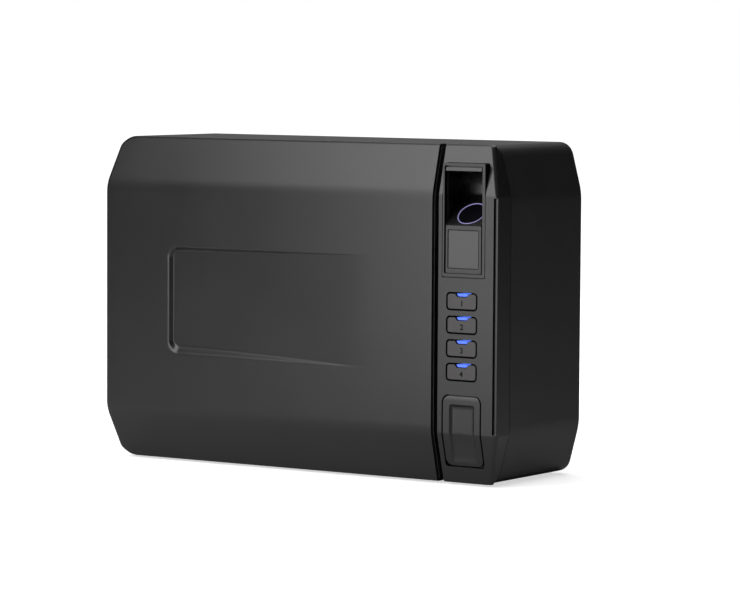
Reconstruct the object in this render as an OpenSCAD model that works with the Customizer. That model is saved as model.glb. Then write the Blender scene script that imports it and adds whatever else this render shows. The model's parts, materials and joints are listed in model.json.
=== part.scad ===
// Quick-access medicine safe: finger scanner, display, four lit keys and a covered key lock.
// Inside placed(), x runs right from the middle of the body, y runs back from its front
// plane, and z runs up from the underside of the case.

/* [Body] */
// Width across the flat sides
body_w = 330; // [324:1:400]
// Depth from the front plane to the back
body_d = 110; // [95:1:160]
// Height of the leaning bands at the top and the bottom
band_h = 34; // [32:1:37]
// How far the front leans back over a band
front_lean = 9; // [7:0.5:10]
// How far each side leans in over a band
side_lean = 9; // [7:0.5:11]
// Radius of the top and bottom edges
edge_r = 8; // [6:0.5:9]
// Radius of the soft crease between a flat and a band
crease_r = 10; // [5:1:20]
// Radius of the upright front corners
corner_r = 3; // [1.5:0.5:3.5]
// Thickness of the steel case
case_t = 2.5; // [1.5:0.1:3]
// Height of the rubber feet
foot_h = 1.5; // [1:0.1:4]
// Radius of the rubber feet
foot_r = 8; // [5:0.5:12]
// Distance of the feet from the sides and from the front and back
foot_inset = 34; // [30:1:45]

/* [Door] */
// Width of the control panel beside the door, up to the flat side
panel_w = 47.4; // [47.2:0.1:52]
// Gap between the door and the control panel
door_gap = 4; // [2:0.1:6]
// How far the front pieces wrap back round the edges
seam_y = 16; // [15.8:0.1:18]
// Gap of the seam in front of the case
seam_gap = 0.6; // [0.4:0.1:1.2]
// Thickness of the moulded door cover
skin_t = 3.2; // [3:0.1:4]
// Thickness of the door cover's rim behind the seat of the steel plate
rim_t = 1.6; // [1.2:0.1:2]
// Thickness of the steel door plate
plate_t = 2; // [1:0.1:2.2]
// Distance of the door plate's back from the door's back edge
plate_sink = 1; // [0.8:0.1:1.5]
// Thickness of the foam pad on the door
pad_t = 6; // [3:0.5:10]

/* [Door pocket] */
// Distance of the pressed pocket from the left side
pocket_left = 56.6; // [40:0.5:80]
// Length of the pocket, which fades out to the right
pocket_l = 161; // [100:1:180]
// Height of the pocket
pocket_h = 77.5; // [50:0.5:100]
// Depth of the pocket at its left end
pocket_depth = 2; // [1:0.1:2.4]
// Width of the pocket's sloping wall at its left end
pocket_slope = 4.2; // [2:0.1:8]
// Corner radius of the pocket
pocket_r = 9; // [5:0.5:14]

/* [Hinge] */
// Radius of the hinge knuckles
knuckle_r = 2.4; // [2.2:0.1:2.6]
// Radius of the hinge pin
hinge_pin_r = 1.1; // [0.8:0.1:1.3]
// Thickness of the hinge leaves
leaf_t = 1.5; // [1:0.1:1.8]
// Depth of the hinge leaves
leaf_w = 13; // [9:0.5:16]
// Number of knuckles, an odd number
knuckle_count = 5; // [3:2:9]
// Distance of the hinge from the creases
hinge_margin = 6; // [3:1:20]

/* [Scanner module] */
// Distance of the module's middle from the flat side
module_inset = 26.4; // [26:0.1:27]
// Width of the module
module_w = 33.5; // [32:0.1:34]
// Distance of the module's top from the top of the body
module_drop = 13.5; // [12.5:0.1:15]
// Depth of the module behind the front plane
module_d = 28; // [24:0.5:28]
// Thickness of the module's side walls
module_t = 2.5; // [2:0.1:3]
// Height of the bar over the finger opening
module_brow = 4; // [3:0.1:5]
// Height of the rim below the display
module_sill = 2.4; // [2:0.1:4]
// Height of the finger opening
finger_h = 36.4; // [34:0.1:37]
// Tilt of the finger rest
rest_tilt = 40; // [35:1:42]
// Radius of the glass finger pad
pad_r = 9.7; // [8:0.1:10]
// Width of the light ring round the finger pad
ring_w = 1; // [0.6:0.1:1.6]
// Distance of the finger pad's middle behind the front plane
pad_back = 9.1; // [9:0.1:12]
// Width of the display's frame
display_w = 28; // [26:0.1:28.2]
// Height of the display's frame
display_h = 32.3; // [30:0.1:32.5]
// Width of the display window
window_w = 22.5; // [18:0.1:24]
// Height of the display window
window_h = 25.7; // [20:0.1:27]

/* [Keys] */
// Distance of the middle of the keys and of the lock cover from the flat side
column_inset = 28; // [27.5:0.1:28.5]
// Width of a key
key_w = 23.6; // [20:0.1:24]
// Height of a key
key_h = 12; // [10:0.1:12.5]
// Distance between neighbouring keys, middle to middle
key_pitch = 15.9; // [15.5:0.1:16]
// Distance of the first key below the module
key_drop = 10.1; // [9:0.1:20]
// Travel of a key
key_travel = 0.8; // [0.4:0.1:0.8]
// Gap round a key
key_gap = 0.4; // [0.3:0.05:0.6]
// Width of a key's light at its top
light_w = 10.3; // [7:0.1:12]
// Height of a key's light
light_h = 2.6; // [2:0.1:3.5]

/* [Lock cover] */
// Width of the cover over the key lock
cover_w = 29.2; // [28.8:0.1:29.4]
// Height of the cover
cover_h = 47.3; // [46:0.1:60]
// Distance of the cover below the last key
cover_drop = 10.7; // [9:0.1:20]
// Height of the cover's lower edge above the underside
cover_z = 12.4; // [12.2:0.1:13]
// Thickness of the cover
cover_t = 2.4; // [2:0.1:2.6]
// Gap round the cover at its sides and top
cover_gap = 0.3; // [0.2:0.05:0.5]
// Gap under the cover, where its edge swings down
cover_foot_gap = 1.1; // [1:0.1:1.4]
// Width of the finger recess in the cover
recess_w = 18.9; // [14:0.1:22]
// Depth of the finger recess at its top
recess_depth = 1.2; // [0.6:0.1:1.4]

/* [Lock] */
// Travel of the lock bolts
bolt_throw = 9; // [8:0.5:9]
// Radius of the lock bolts
bolt_r = 4; // [3.5:0.1:4.5]
// Number of lock bolts
bolt_count = 3; // [2:1:3]
// Distance between neighbouring bolts
bolt_pitch = 50; // [45:1:52]
// Height of the lowest bolt
bolt_z = 70; // [68:1:72]
// Distance of the bolts behind the front plane
bolt_y = 34; // [33.5:0.5:34.5]
// Thickness of the steel parts of the lock
steel_t = 2; // [1.5:0.1:2]
// Radius of the key cylinder
cylinder_r = 9.5; // [8:0.1:9.8]
// Radius of the turning plug
plug_r = 6.5; // [5:0.1:7]
// Height of the key cylinder above the underside
cylinder_z = 42; // [41:0.5:43]
// Height of the motor above the underside
motor_z = 120; // [116:1:130]
// Radius of the motor's gearbox
gearbox_r = 12; // [10:0.5:13]

/* [Mounting holes] */
// Distance between the holes along the back
mount_w = 180; // [120:1:200]
// Distance between the holes up the back
mount_h = 110; // [80:1:140]
// Radius of the holes
mount_r = 3.5; // [2.5:0.1:5]

/* [Hidden] */

$fn = 48;
eps = 0.5;            // overshoot of a cutting solid
arc_steps = 8;        // straight steps in a rounded corner of an outline
fit = 0.05;           // running clearance of a shaft
loose = 0.2;          // clearance of a drop-in piece
shell_black = [0.13, 0.13, 0.14];
plastic_black = [0.16, 0.16, 0.17];
bare_steel = [0.62, 0.63, 0.65];
board_green = [0.07, 0.26, 0.16];

// The height follows from what stands above each other on the control panel
key_count = 4;                       // one sub-part each
module_h = module_brow + finger_h + loose + display_h + module_sill;
keys_h = (key_count - 1) * key_pitch + key_h;
body_h = cover_z + cover_h + cover_drop + keys_h + key_drop + module_h + module_drop;

half_w = body_w / 2;
top_crease = body_h - band_h;
panel_left = half_w - panel_w;
door_right = panel_left - door_gap;
case_y = seam_y + seam_gap;          // front edge of the case and of the steel frame
plate_y = seam_y - plate_sink - plate_t;
frame_back = case_y + steel_t;

// Hinge line, in the channel between the door's edge and the case
knuckle_gap = 0.2;
hinge_x = -half_w + knuckle_r + 0.1;
hinge_y = seam_y + knuckle_r + knuckle_gap;
hinge_low = band_h + hinge_margin;
hinge_high = top_crease - hinge_margin;
knuckle_h = (hinge_high - hinge_low) / knuckle_count;
channel_y = hinge_y + knuckle_r + 1.2;

// Door opening in the frame, and the wall beside it
jamb_cover = 9.9;
opening_left = -half_w + 15;
opening_right = door_right - jamb_cover;
opening_margin = 18;                 // from the underside and from the top
opening_low = opening_margin;
opening_high = body_h - opening_margin;
opening_r = 6;
bulkhead_x = opening_right + 2;
bay_x = bulkhead_x + steel_t;
striker_t = 3;
striker_x = opening_right - 3 - striker_t;
pad_margin = 8;

// Scanner module
module_x = half_w - module_inset;
module_top = body_h - module_drop;
module_low = module_top - module_h;
module_left = module_x - module_w / 2;
module_right = module_x + module_w / 2;
module_wall = 1.5;
flange_w = 1;
finger_top = module_top - module_brow;
finger_low = finger_top - finger_h;
pad_z = finger_low + pad_back * tan(rest_tilt);
pad_sink = 1.2;
display_z = module_low + module_sill + display_h / 2;
display_depth = 7;
display_sink = 0.3;
display_back = 3.5;
window_r = 0.6;

// Panel wall and what hangs on it
panel_t = 3;
panel_gap = 0.4;
column_x = half_w - column_inset;
first_key_z = module_low - key_drop - key_h / 2;
key_r = 1.8;
key_flange = 1.2;
key_flange_t = 1;
key_stem_r = 2.5;
board_t = 1.6;
board_y = 10;
switch_top = board_y - 3.1;
board_left = panel_left + 3.7;
board_right = half_w - 10;
board_low = first_key_z - (key_count - 1) * key_pitch - key_h / 2 - 4.2;
board_high = module_low - 5.2;
post_r = 1.5;
boss_r = 2.2;
screw_r = 1.5;

// Lock cover and the recess behind it
cover_top = cover_z + cover_h;
cover_top_r = 4.5;
cover_foot_r = 3;
ledge_w = 2;
cover_axis_y = 8.4;
cover_axis_z = cover_z + 4.6;
cover_pin_r = 0.8;
cover_knuckle_r = 1.7;
recess_floor = 14;                   // front face of the recess's floor
well_wall = 1.4;
well_top = cover_top + cover_gap + well_wall;
pin_seat = 1.1;
swing_z = cover_axis_z + 5.6;        // below this the recess is as wide as the cover
port_w = 9;
port_h = 3.6;
port_z = cover_z + 11.5;
keyhole_low = cover_z + 4.1;
keyhole_top = cover_top - 5.8;
fade = atan(recess_depth / (keyhole_top - keyhole_low));
boss_spots = [[panel_left + 5.4, (well_top + board_low) / 2], [half_w - 5.9, band_h + 11],
              [half_w - 5.9, top_crease - 5], [panel_left + 6, body_h - 8.5]];

// Lock: a carrier slides along x on its bolts, moved by two crank pins in upright slots
carrier_x = bay_x + bolt_throw + 1;
guide_x = carrier_x + steel_t + 1;
stem_r = 3;
stem_end = guide_x + steel_t + bolt_throw + 1.5;
crank_r = bolt_throw / (2 * sin(45)); // a quarter turn moves the carrier by its throw
crank_pin_r = 1.5;
yoke_gap = 0.35;
yoke_y = 40;
yoke_back = yoke_y + steel_t;
motor_x = carrier_x + 11;
crank_disc_r = crank_r + crank_pin_r + 1.1;
crank_y = yoke_back + 1.2;
crank_disc_t = 1.8;
shaft_r = 3;
bracket_y = crank_y + crank_disc_t + 0.5;
gearbox_l = 14.5;
motor_r = 10;
motor_l = 24;
bolt_zs = [for (i = [0:bolt_count - 1]) bolt_z + i * bolt_pitch];
carrier_top = bolt_zs[bolt_count - 1] + 8;
cam_y = 37;
nut_w = 3;

// Battery box behind the bulkhead, loaded from the compartment: two by two upright cells
cell_r = 7.1;
cell_l = 50;
cell_pitch = 2 * cell_r + 1;
row_count = 2;
contact_l = 3;
cell_nub = 1.2;
box_t = 1.6;
box_y = bracket_y;
box_in_y = box_y + box_t;
box_in_w = row_count * cell_pitch;
box_low = 22;
box_in_z = box_low + box_t;
box_in_h = cell_l + 2 * contact_l;
lid_lap = 3;
lid_t = 1.8;
lid_tab = 7;
lid_screw_y = box_in_y + box_in_w / 2;
lid_screw_z = box_in_z + box_in_h + box_t + lid_tab / 2;

// Main circuit board on the right wall
main_x = half_w - case_t - 7.5;
main_y = [board_y + 34, body_d - 10];
main_z = [motor_z - 15, top_crease + 5];

// Helpers

module placed() {
    translate([0, -body_d / 2, foot_h]) children();
}

module block(x, y, z) {
    translate([x[0], y[0], z[0]]) cube([x[1] - x[0], y[1] - y[0], z[1] - z[0]]);
}

// Extrudes an outline of x and z from y0 back to y1
module front_prism(points, y0, y1) {
    translate([0, y1, 0]) rotate([90, 0, 0]) linear_extrude(y1 - y0) polygon(points);
}

// Extrudes an outline of y and z from x0 to x1
module side_prism(points, x0, x1) {
    translate([x0, 0, 0]) rotate([90, 0, 90]) linear_extrude(x1 - x0) polygon(points);
}

module rod_x(r, x0, x1, y, z) {
    translate([x0, y, z]) rotate([0, 90, 0]) cylinder(r = r, h = x1 - x0);
}

module rod_y(r, y0, y1, x, z) {
    translate([x, y0, z]) rotate([-90, 0, 0]) cylinder(r = r, h = y1 - y0);
}

module rod_z(r, z0, z1, x, y) {
    translate([x, y, z0]) cylinder(r = r, h = z1 - z0);
}

function unit(v) = v / norm(v);

// Range of width w round c
function span(c, w) = [c - w / 2, c + w / 2];

// Points of one corner, from a to b round p, with radius r
function rounded_corner(a, p, b, r) =
    let (u = unit(a - p), v = unit(b - p), half = acos(u * v) / 2,
         centre = p + unit(u + v) * r / sin(half),
         from = p + u * r / tan(half) - centre, to = p + v * r / tan(half) - centre,
         start = atan2(from[1], from[0]),
         turn = (atan2(to[1], to[0]) - start + 540) % 360 - 180)
    [for (i = [0:arc_steps]) centre + r * [cos(start + turn * i / arc_steps),
                                           sin(start + turn * i / arc_steps)]];

function rounded(points, radii) =
    let (n = len(points))
    [for (i = [0:n - 1]) each rounded_corner(points[(i + n - 1) % n], points[i],
                                             points[(i + 1) % n], radii[i])];

function rounded_rect(x, z, r) =
    rounded([[x[0], z[0]], [x[1], z[0]], [x[1], z[1]], [x[0], z[1]]], [r, r, r, r]);

// A wall set in by t: how far the leaning band's end and its crease move
function band_inset(lean, t) = t / cos(atan(lean / band_h)) + lean * (band_h - t) / band_h;
function crease_shift(lean, t) = t * (1 / cos(atan(lean / band_h)) - 1) * band_h / lean;

function front_outline(t) =
    let (foot = half_w - band_inset(side_lean, t), side = half_w - t,
         low = band_h + crease_shift(side_lean, t), high = body_h - low,
         r = max(edge_r - t, 1), c = max(crease_r - t, 1))
    rounded([[-foot, t], [foot, t], [side, low], [side, high],
             [foot, body_h - t], [-foot, body_h - t], [-side, high], [-side, low]],
            [r, r, c, c, r, r, c, c]);

function side_outline(t) =
    let (foot = band_inset(front_lean, t), low = band_h + crease_shift(front_lean, t),
         r = max(edge_r - t, 1), c = max(crease_r - t, 1))
    rounded([[foot, t], [body_d, t], [body_d, body_h - t], [foot, body_h - t],
             [t, body_h - low], [t, low]], [r, 1, 1, r, c, c]);

function plan_outline(t) =
    let (side = half_w - t, r = max(corner_r - t, 0.5))
    rounded([[-side, t], [side, t], [side, body_d], [-side, body_d]], [r, r, 1, 1]);

// The body's outer form set in by t, between two depths
module envelope(t, y0, y1) {
    intersection() {
        front_prism(front_outline(t), y0, y1);
        side_prism(side_outline(t), -half_w, half_w);
        linear_extrude(body_h) polygon(plan_outline(t));
    }
}

// Case and frame

module rear_case() {
    mount_x = (bulkhead_x - half_w + case_t) / 2;
    color(shell_black) placed() difference() {
        front_prism(front_outline(0), case_y, body_d);
        front_prism(front_outline(case_t), case_y - eps, body_d - case_t);
        block([-half_w - eps, -half_w + 7], [case_y - eps, channel_y], [0, body_h]);
        for (side = [-1, 1], level = [-1, 1])
            rod_y(mount_r, body_d - case_t - eps, body_d + eps,
                  mount_x + side * mount_w / 2, body_h / 2 + level * mount_h / 2);
    }
}

module front_frame() {
    web = [hinge_x + knuckle_r + 0.5, hinge_x + knuckle_r + 2];
    upper = rounded_rect([module_left - 1, module_right + 1], [module_low - 1.2, module_top + 1.2], 1);
    nut = cylinder_r + nut_w + 1;
    lower = rounded_rect([column_x - nut, column_x + nut], [20, cylinder_z + nut], 3);
    cable_way = rounded_rect([board_right - 16, board_right - 3], [board_low + 4, board_high - 5], 3);
    door_way = rounded_rect([opening_left, opening_right], [opening_low, opening_high], opening_r);
    color([0.2, 0.2, 0.21]) placed() {
        difference() {
            intersection() {
                front_prism(front_outline(case_t), case_y, frame_back);
                block([web[0], half_w], [0, body_d], [0, body_h]);
            }
            for (way = [upper, lower, cable_way, door_way])
                front_prism(way, case_y - eps, frame_back + eps);
            for (spot = boss_spots)
                rod_y(screw_r + 0.2, case_y - eps, frame_back + eps, spot[0], spot[1]);
        }
        block(web, [case_y, hinge_y + leaf_w + 3], [hinge_low, hinge_high]);
        block([hinge_x + leaf_t, web[1]], [channel_y, hinge_y + leaf_w + 3], [hinge_low, hinge_high]);
    }
}

module bulkhead() {
    color([0.2, 0.2, 0.21]) placed() difference() {
        block([bulkhead_x, bay_x], [frame_back, body_d - case_t], [case_t, body_h - case_t]);
        for (z = bolt_zs) rod_x(bolt_r + fit, bulkhead_x - eps, bay_x + eps, bolt_y, z);
        block([bulkhead_x - eps, bay_x + eps], [box_in_y, box_in_y + box_in_w],
              [box_in_z, box_in_z + box_in_h]);
        rod_x(screw_r, bulkhead_x - eps, bay_x + eps, lid_screw_y, lid_screw_z);
    }
}

module feet() {
    color([0.09, 0.09, 0.09]) placed()
        for (x = [-half_w + foot_inset, half_w - foot_inset], y = [foot_inset, body_d - foot_inset / 2])
            rod_z(foot_r, -foot_h, 0, x, y);
}

module floor_mat() {
    mat_t = 3;
    left = -half_w + 18;
    right = bulkhead_x - 3;
    low = frame_back + 2;
    back = body_d - case_t - 3;
    color([0.17, 0.17, 0.18]) placed() translate([0, 0, case_t]) linear_extrude(mat_t)
        polygon(rounded_rect([left, right], [low, back], 6));
}

module cabin_light() {
    light_l = 80;
    light_t = 4;
    light_d = 7;
    ceiling = body_h - case_t;
    color([0.95, 0.95, 0.9]) placed()
        front_prism(rounded_rect(span((opening_left + opening_right) / 2, light_l),
                                 [ceiling - light_t, ceiling], 1),
                    frame_back + 4, frame_back + 4 + light_d);
}

// Hinge

module knuckles(first) {
    for (i = [first:2:knuckle_count - 1])
        rod_z(knuckle_r, hinge_low + i * knuckle_h + knuckle_gap / 2,
              hinge_low + (i + 1) * knuckle_h - knuckle_gap / 2, hinge_x, hinge_y);
}

module hinge_bore() {
    rod_z(hinge_pin_r + fit, hinge_low - eps, hinge_high + eps, hinge_x, hinge_y);
}

module hinge_case_leaf() {
    color(bare_steel) placed() difference() {
        union() {
            knuckles(0);
            for (i = [0:2:knuckle_count - 1])
                block([hinge_x, hinge_x + leaf_t], [hinge_y, channel_y + eps],
                      [hinge_low + i * knuckle_h + knuckle_gap / 2,
                       hinge_low + (i + 1) * knuckle_h - knuckle_gap / 2]);
            block([hinge_x, hinge_x + leaf_t], [channel_y, hinge_y + leaf_w], [hinge_low, hinge_high]);
        }
        hinge_bore();
    }
}

module hinge_door_leaf() {
    leaf_x = -half_w + skin_t;
    color(bare_steel) placed() difference() {
        union() {
            knuckles(1);
            for (i = [1:2:knuckle_count - 1])
                block([leaf_x, leaf_x + leaf_t], [plate_y, hinge_y],
                      [hinge_low + i * knuckle_h + knuckle_gap / 2,
                       hinge_low + (i + 1) * knuckle_h - knuckle_gap / 2]);
            block([leaf_x, leaf_x + leaf_t], [hinge_y - leaf_w, seam_y - plate_sink],
                  [hinge_low, hinge_high]);
        }
        hinge_bore();
    }
}

module hinge_pin() {
    color(bare_steel) placed() rod_z(hinge_pin_r, hinge_low - 1, hinge_high + 1, hinge_x, hinge_y);
}

// Door

// The door's pocket: full depth at the left, running out at the right
module door_pocket() {
    mid = body_h / 2;
    x0 = -half_w + pocket_left;
    face = rounded_rect([x0, x0 + pocket_l], [mid - pocket_h / 2, mid + pocket_h / 2], pocket_r);
    floor_h = pocket_h - 2 * pocket_slope;
    floor_face = rounded_rect([0, pocket_l - pocket_slope], [-floor_h / 2, floor_h / 2],
                              pocket_r - pocket_slope / 2);
    lean = atan(pocket_depth / (pocket_l - pocket_slope));
    hull() {
        front_prism(face, -eps, 0);
        translate([x0 + pocket_slope, pocket_depth, mid]) rotate([0, 0, -lean])
            front_prism(floor_face, -0.01, 0);
    }
}

module door_cover() {
    color(plastic_black) placed() difference() {
        intersection() {
            envelope(0, 0, seam_y);
            block([-half_w, door_right], [0, seam_y], [0, body_h]);
        }
        intersection() {
            envelope(skin_t, 0, plate_y);
            block([-half_w, door_right - skin_t], [0, plate_y], [0, body_h]);
        }
        intersection() {
            envelope(rim_t, plate_y, seam_y + eps);
            block([-half_w, door_right - rim_t], [plate_y, seam_y + eps], [0, body_h]);
        }
        door_pocket();
    }
}

module door_plate() {
    edge = rim_t + loose;
    slot = 0.5;
    color([0.24, 0.24, 0.25]) placed() difference() {
        intersection() {
            envelope(edge, plate_y, plate_y + plate_t);
            block([-half_w, door_right - edge], [0, seam_y], [0, body_h]);
        }
        block([-half_w, -half_w + skin_t + leaf_t + slot], [0, seam_y + eps],
              [hinge_low - slot, hinge_high + slot]);
    }
}

module door_pad() {
    back = plate_y + plate_t;
    color([0.2, 0.2, 0.21]) placed()
        front_prism(rounded_rect([opening_left + pad_margin, striker_x - pad_margin],
                                 [opening_low + pad_margin, opening_high - pad_margin], 8),
                    back, back + pad_t);
}

module striker_plate() {
    back = plate_y + plate_t;
    reach = bolt_y + bolt_r + 5;
    low = bolt_z - 15;
    high = bolt_zs[bolt_count - 1] + 15;
    foot = 6;
    keep = bolt_r + 0.7;
    color(bare_steel) placed() difference() {
        union() {
            block([striker_x, striker_x + striker_t], [back, reach], [low, high]);
            block([striker_x - foot, striker_x], [back, back + steel_t], [low, high]);
        }
        for (z = bolt_zs)
            block([striker_x - eps, striker_x + striker_t + eps], [bolt_y - keep, bolt_y + keep],
                  [z - keep, z + keep]);
    }
}

module door_seal() {
    seal_t = seam_gap + plate_sink - 0.3;
    w = 5;
    inner = rounded_rect([opening_left, opening_right], [opening_low, opening_high], opening_r);
    outer = rounded_rect([opening_left - w, opening_right + w], [opening_low - w, opening_high + w],
                         opening_r + w);
    color([0.05, 0.05, 0.05]) placed() difference() {
        front_prism(outer, case_y - seal_t, case_y);
        front_prism(inner, case_y - seal_t - eps, case_y + eps);
    }
}

// Control panel

function key_z(i) = first_key_z - i * key_pitch;

// Outline of the cover, grown by g at the sides and top and by f at the foot
function cover_outline(g, f) =
    rounded([[column_x - cover_w / 2 - g, cover_z - f], [column_x + cover_w / 2 + g, cover_z - f],
             [column_x + cover_w / 2 + g, cover_top + g], [column_x - cover_w / 2 - g, cover_top + g]],
            [cover_foot_r, cover_foot_r, cover_top_r + g, cover_top_r + g]);

module control_bezel() {
    color(plastic_black) placed() difference() {
        union() {
            difference() {
                intersection() {
                    envelope(0, 0, seam_y);
                    block([panel_left, half_w], [0, seam_y], [0, body_h]);
                }
                intersection() {
                    envelope(panel_t, 0, seam_y + eps);
                    block([panel_left + panel_t, half_w], [0, seam_y + eps], [0, body_h]);
                }
            }
            intersection() {
                envelope(1, 0, case_y);
                for (spot = boss_spots) rod_y(boss_r, 1, case_y, spot[0], spot[1]);
            }
            for (x = [board_left + 1.6, board_right - 1.6], z = [board_low + 1.8, board_high - 1.8])
                rod_y(post_r, panel_t - 1, board_y, x, z);
        }
        // Openings of the lock cover, the module and the keys
        front_prism(cover_outline(cover_gap, cover_foot_gap), -eps, seam_y);
        cover_swing();
        front_prism(rounded_rect([module_left - panel_gap, module_right + panel_gap],
                                 [module_low - panel_gap, module_top + panel_gap], 1), -eps, seam_y);
        for (i = [0:key_count - 1])
            front_prism(rounded_rect(span(column_x, key_w + 2 * key_gap),
                                     span(key_z(i), key_h + 2 * key_gap), key_r + key_gap),
                        -eps, panel_t + eps);
        for (spot = boss_spots) rod_y(screw_r, panel_t + 2, case_y + eps, spot[0], spot[1]);
        // Fine groove along the flat part of the outer corner
        block([half_w - 3.4, half_w - 2.3], [-eps, 1.1], [band_h, top_crease]);
    }
}

module bezel_screws() {
    color(bare_steel) placed() for (spot = boss_spots) {
        rod_y(screw_r - fit, case_y - 5, frame_back, spot[0], spot[1]);
        rod_y(2 * screw_r, frame_back, frame_back + 1.8, spot[0], spot[1]);
    }
}

// Scanner module

module scanner_housing() {
    color(plastic_black) placed() difference() {
        union() {
            front_prism(rounded_rect([module_left, module_right], [module_low, module_top], 0.8),
                        0, module_d);
            block([module_left - flange_w, module_right + flange_w], [panel_t, panel_t + 1.5],
                  [module_low - 0.9, top_crease - 6]);
        }
        // Finger opening with its rising rest
        difference() {
            block([module_left + module_t, module_right - module_t], [-eps, module_d - module_wall],
                  [finger_low, finger_top]);
            translate([module_x, 0, finger_low]) rotate([rest_tilt, 0, 0])
                block([-module_w, module_w], [-module_d, 3 * module_d], [-2 * module_d, 0]);
        }
        // Seat of the finger pad and of its light ring
        translate([module_x, pad_back, pad_z]) rotate([rest_tilt, 0, 0])
            translate([0, 0, -pad_sink]) cylinder(r = pad_r + ring_w + fit, h = 2 * pad_sink);
        // Seat of the display
        block(span(module_x, display_w + 2 * loose), [-eps, display_depth],
              span(display_z, display_h + 2 * loose));
    }
}

// Stands its children on the finger rest, middle of the pad at the origin
module on_rest() {
    placed() translate([module_x, pad_back, pad_z]) rotate([rest_tilt, 0, 0])
        translate([0, 0, -pad_sink]) children();
}

module finger_sensor() {
    color([0.03, 0.03, 0.05]) on_rest() cylinder(r = pad_r - fit, h = pad_sink);
}

module sensor_ring() {
    color([0.45, 0.42, 0.95]) on_rest() difference() {
        cylinder(r = pad_r + ring_w, h = pad_sink + 0.15);
        translate([0, 0, -eps]) cylinder(r = pad_r, h = pad_sink + 2 * eps);
    }
}

module display_frame() {
    color(plastic_black) placed() difference() {
        front_prism(rounded_rect(span(module_x, display_w), span(display_z, display_h), 0.8),
                    display_sink, display_back);
        front_prism(rounded_rect(span(module_x, window_w), span(display_z, window_h), window_r),
                    -eps, display_back + eps);
    }
}

module display_window() {
    color([0.42, 0.42, 0.43]) placed()
        front_prism(rounded_rect(span(module_x, window_w - 2 * fit), span(display_z, window_h - 2 * fit),
                                 window_r - fit), display_sink + 0.6, display_back);
}

module display_board() {
    color(board_green) placed()
        block(span(module_x, display_w), [display_back, display_back + 2], span(display_z, display_h));
}

// Keys

// Upright wedge of a key's light, grown by g
function light_outline(i, g) =
    let (top = key_z(i) + key_h / 2, low = top - light_h, wide = light_w / 2 + g, taper = light_h / 2)
    [[column_x - wide + taper, low - g], [column_x + wide - taper, low - g],
     [column_x + wide, top + g], [column_x - wide, top + g]];

module key_cap(i) {
    light_gap = 0.25;
    flange_y = panel_t + loose;
    color([0.2, 0.2, 0.21]) placed() {
        difference() {
            union() {
                front_prism(rounded_rect(span(column_x, key_w), span(key_z(i), key_h), key_r), 0, flange_y);
                front_prism(rounded_rect(span(column_x, key_w + 2 * key_flange),
                                         span(key_z(i), key_h + 2 * key_flange), key_r),
                            flange_y, flange_y + key_flange_t);
            }
            front_prism(light_outline(i, light_gap), -eps, board_y);
            block(span(column_x, light_w + 2 * light_gap),
                  [flange_y - 0.01, board_y],
                  [key_z(i) + key_h / 2 - light_h - light_gap, key_z(i) + key_h / 2 + key_flange + eps]);
        }
        rod_y(key_stem_r, flange_y, switch_top - key_travel - 0.1, column_x, key_z(i) - 1);
    }
}

module key_lights() {
    color([0.35, 0.5, 1]) placed() for (i = [0:key_count - 1])
        front_prism(light_outline(i, 0), 0.1, board_y);
}

module key_board() {
    color(board_green) placed() {
        block([board_left, board_right], [board_y, board_y + board_t], [board_low, board_high]);
        for (i = [0:key_count - 1]) {
            block([column_x - 3, column_x + 3], [board_y - 2.5, board_y], [key_z(i) - 4, key_z(i) + 2]);
            rod_y(1.7, switch_top, board_y - 2.5, column_x, key_z(i) - 1);
        }
        block([board_right - 14, board_right - 2], [board_y + board_t, board_y + board_t + 3],
              [board_high - 22, board_high - 16]);
    }
}

// Flat cable from the key board back to the main board
module ribbon_cable() {
    t = 0.8;
    low = board_high - 22;
    w = 6;
    x0 = board_right - 8;
    y0 = board_y + board_t + 3;
    x1 = main_x;
    y1 = main_y[0] + 8;
    bend = 4;
    color([0.55, 0.55, 0.57]) placed() translate([0, 0, low]) linear_extrude(w)
        polygon([[x0, y0], [x0, y1 - bend], [x0 + bend, y1], [x1, y1], [x1, y1 + t],
                 [x0 + bend - t / 2, y1 + t], [x0 - t, y1 - bend + t / 2], [x0 - t, y0]]);
}

// Lock cover and key lock

// Space that the cover's foot needs to turn, and the bore of its pin
module cover_swing() {
    side = cover_w / 2 + cover_gap;
    reach = side + pin_seat + fit;
    block([column_x - side, column_x + side], [0, recess_floor],
          [cover_z - cover_foot_gap, swing_z]);
    rod_x(cover_pin_r + fit, column_x - reach, column_x + reach, cover_axis_y, cover_axis_z);
}

// Moulded well behind the cover: its floor holds the key cylinder and its sides the cover's pin
module lock_well() {
    side = cover_w / 2 + cover_gap;
    low = cover_z - cover_foot_gap;
    color(plastic_black) placed() difference() {
        intersection() {
            envelope(panel_t, 0, seam_y);
            block([column_x - side - well_wall, column_x + side + well_wall],
                  [0, recess_floor + 2], [low - well_wall, well_top]);
        }
        block([column_x - side + ledge_w, column_x + side - ledge_w], [0, recess_floor],
              [low, well_top - well_wall - ledge_w]);
        cover_swing();
        rod_y(cylinder_r + fit, recess_floor - eps, recess_floor + 2 + eps, column_x, cylinder_z);
        block(span(column_x, port_w + 2 * loose), [recess_floor - eps, recess_floor + 2 + eps],
              span(port_z, port_h + 2 * loose));
    }
}

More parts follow.
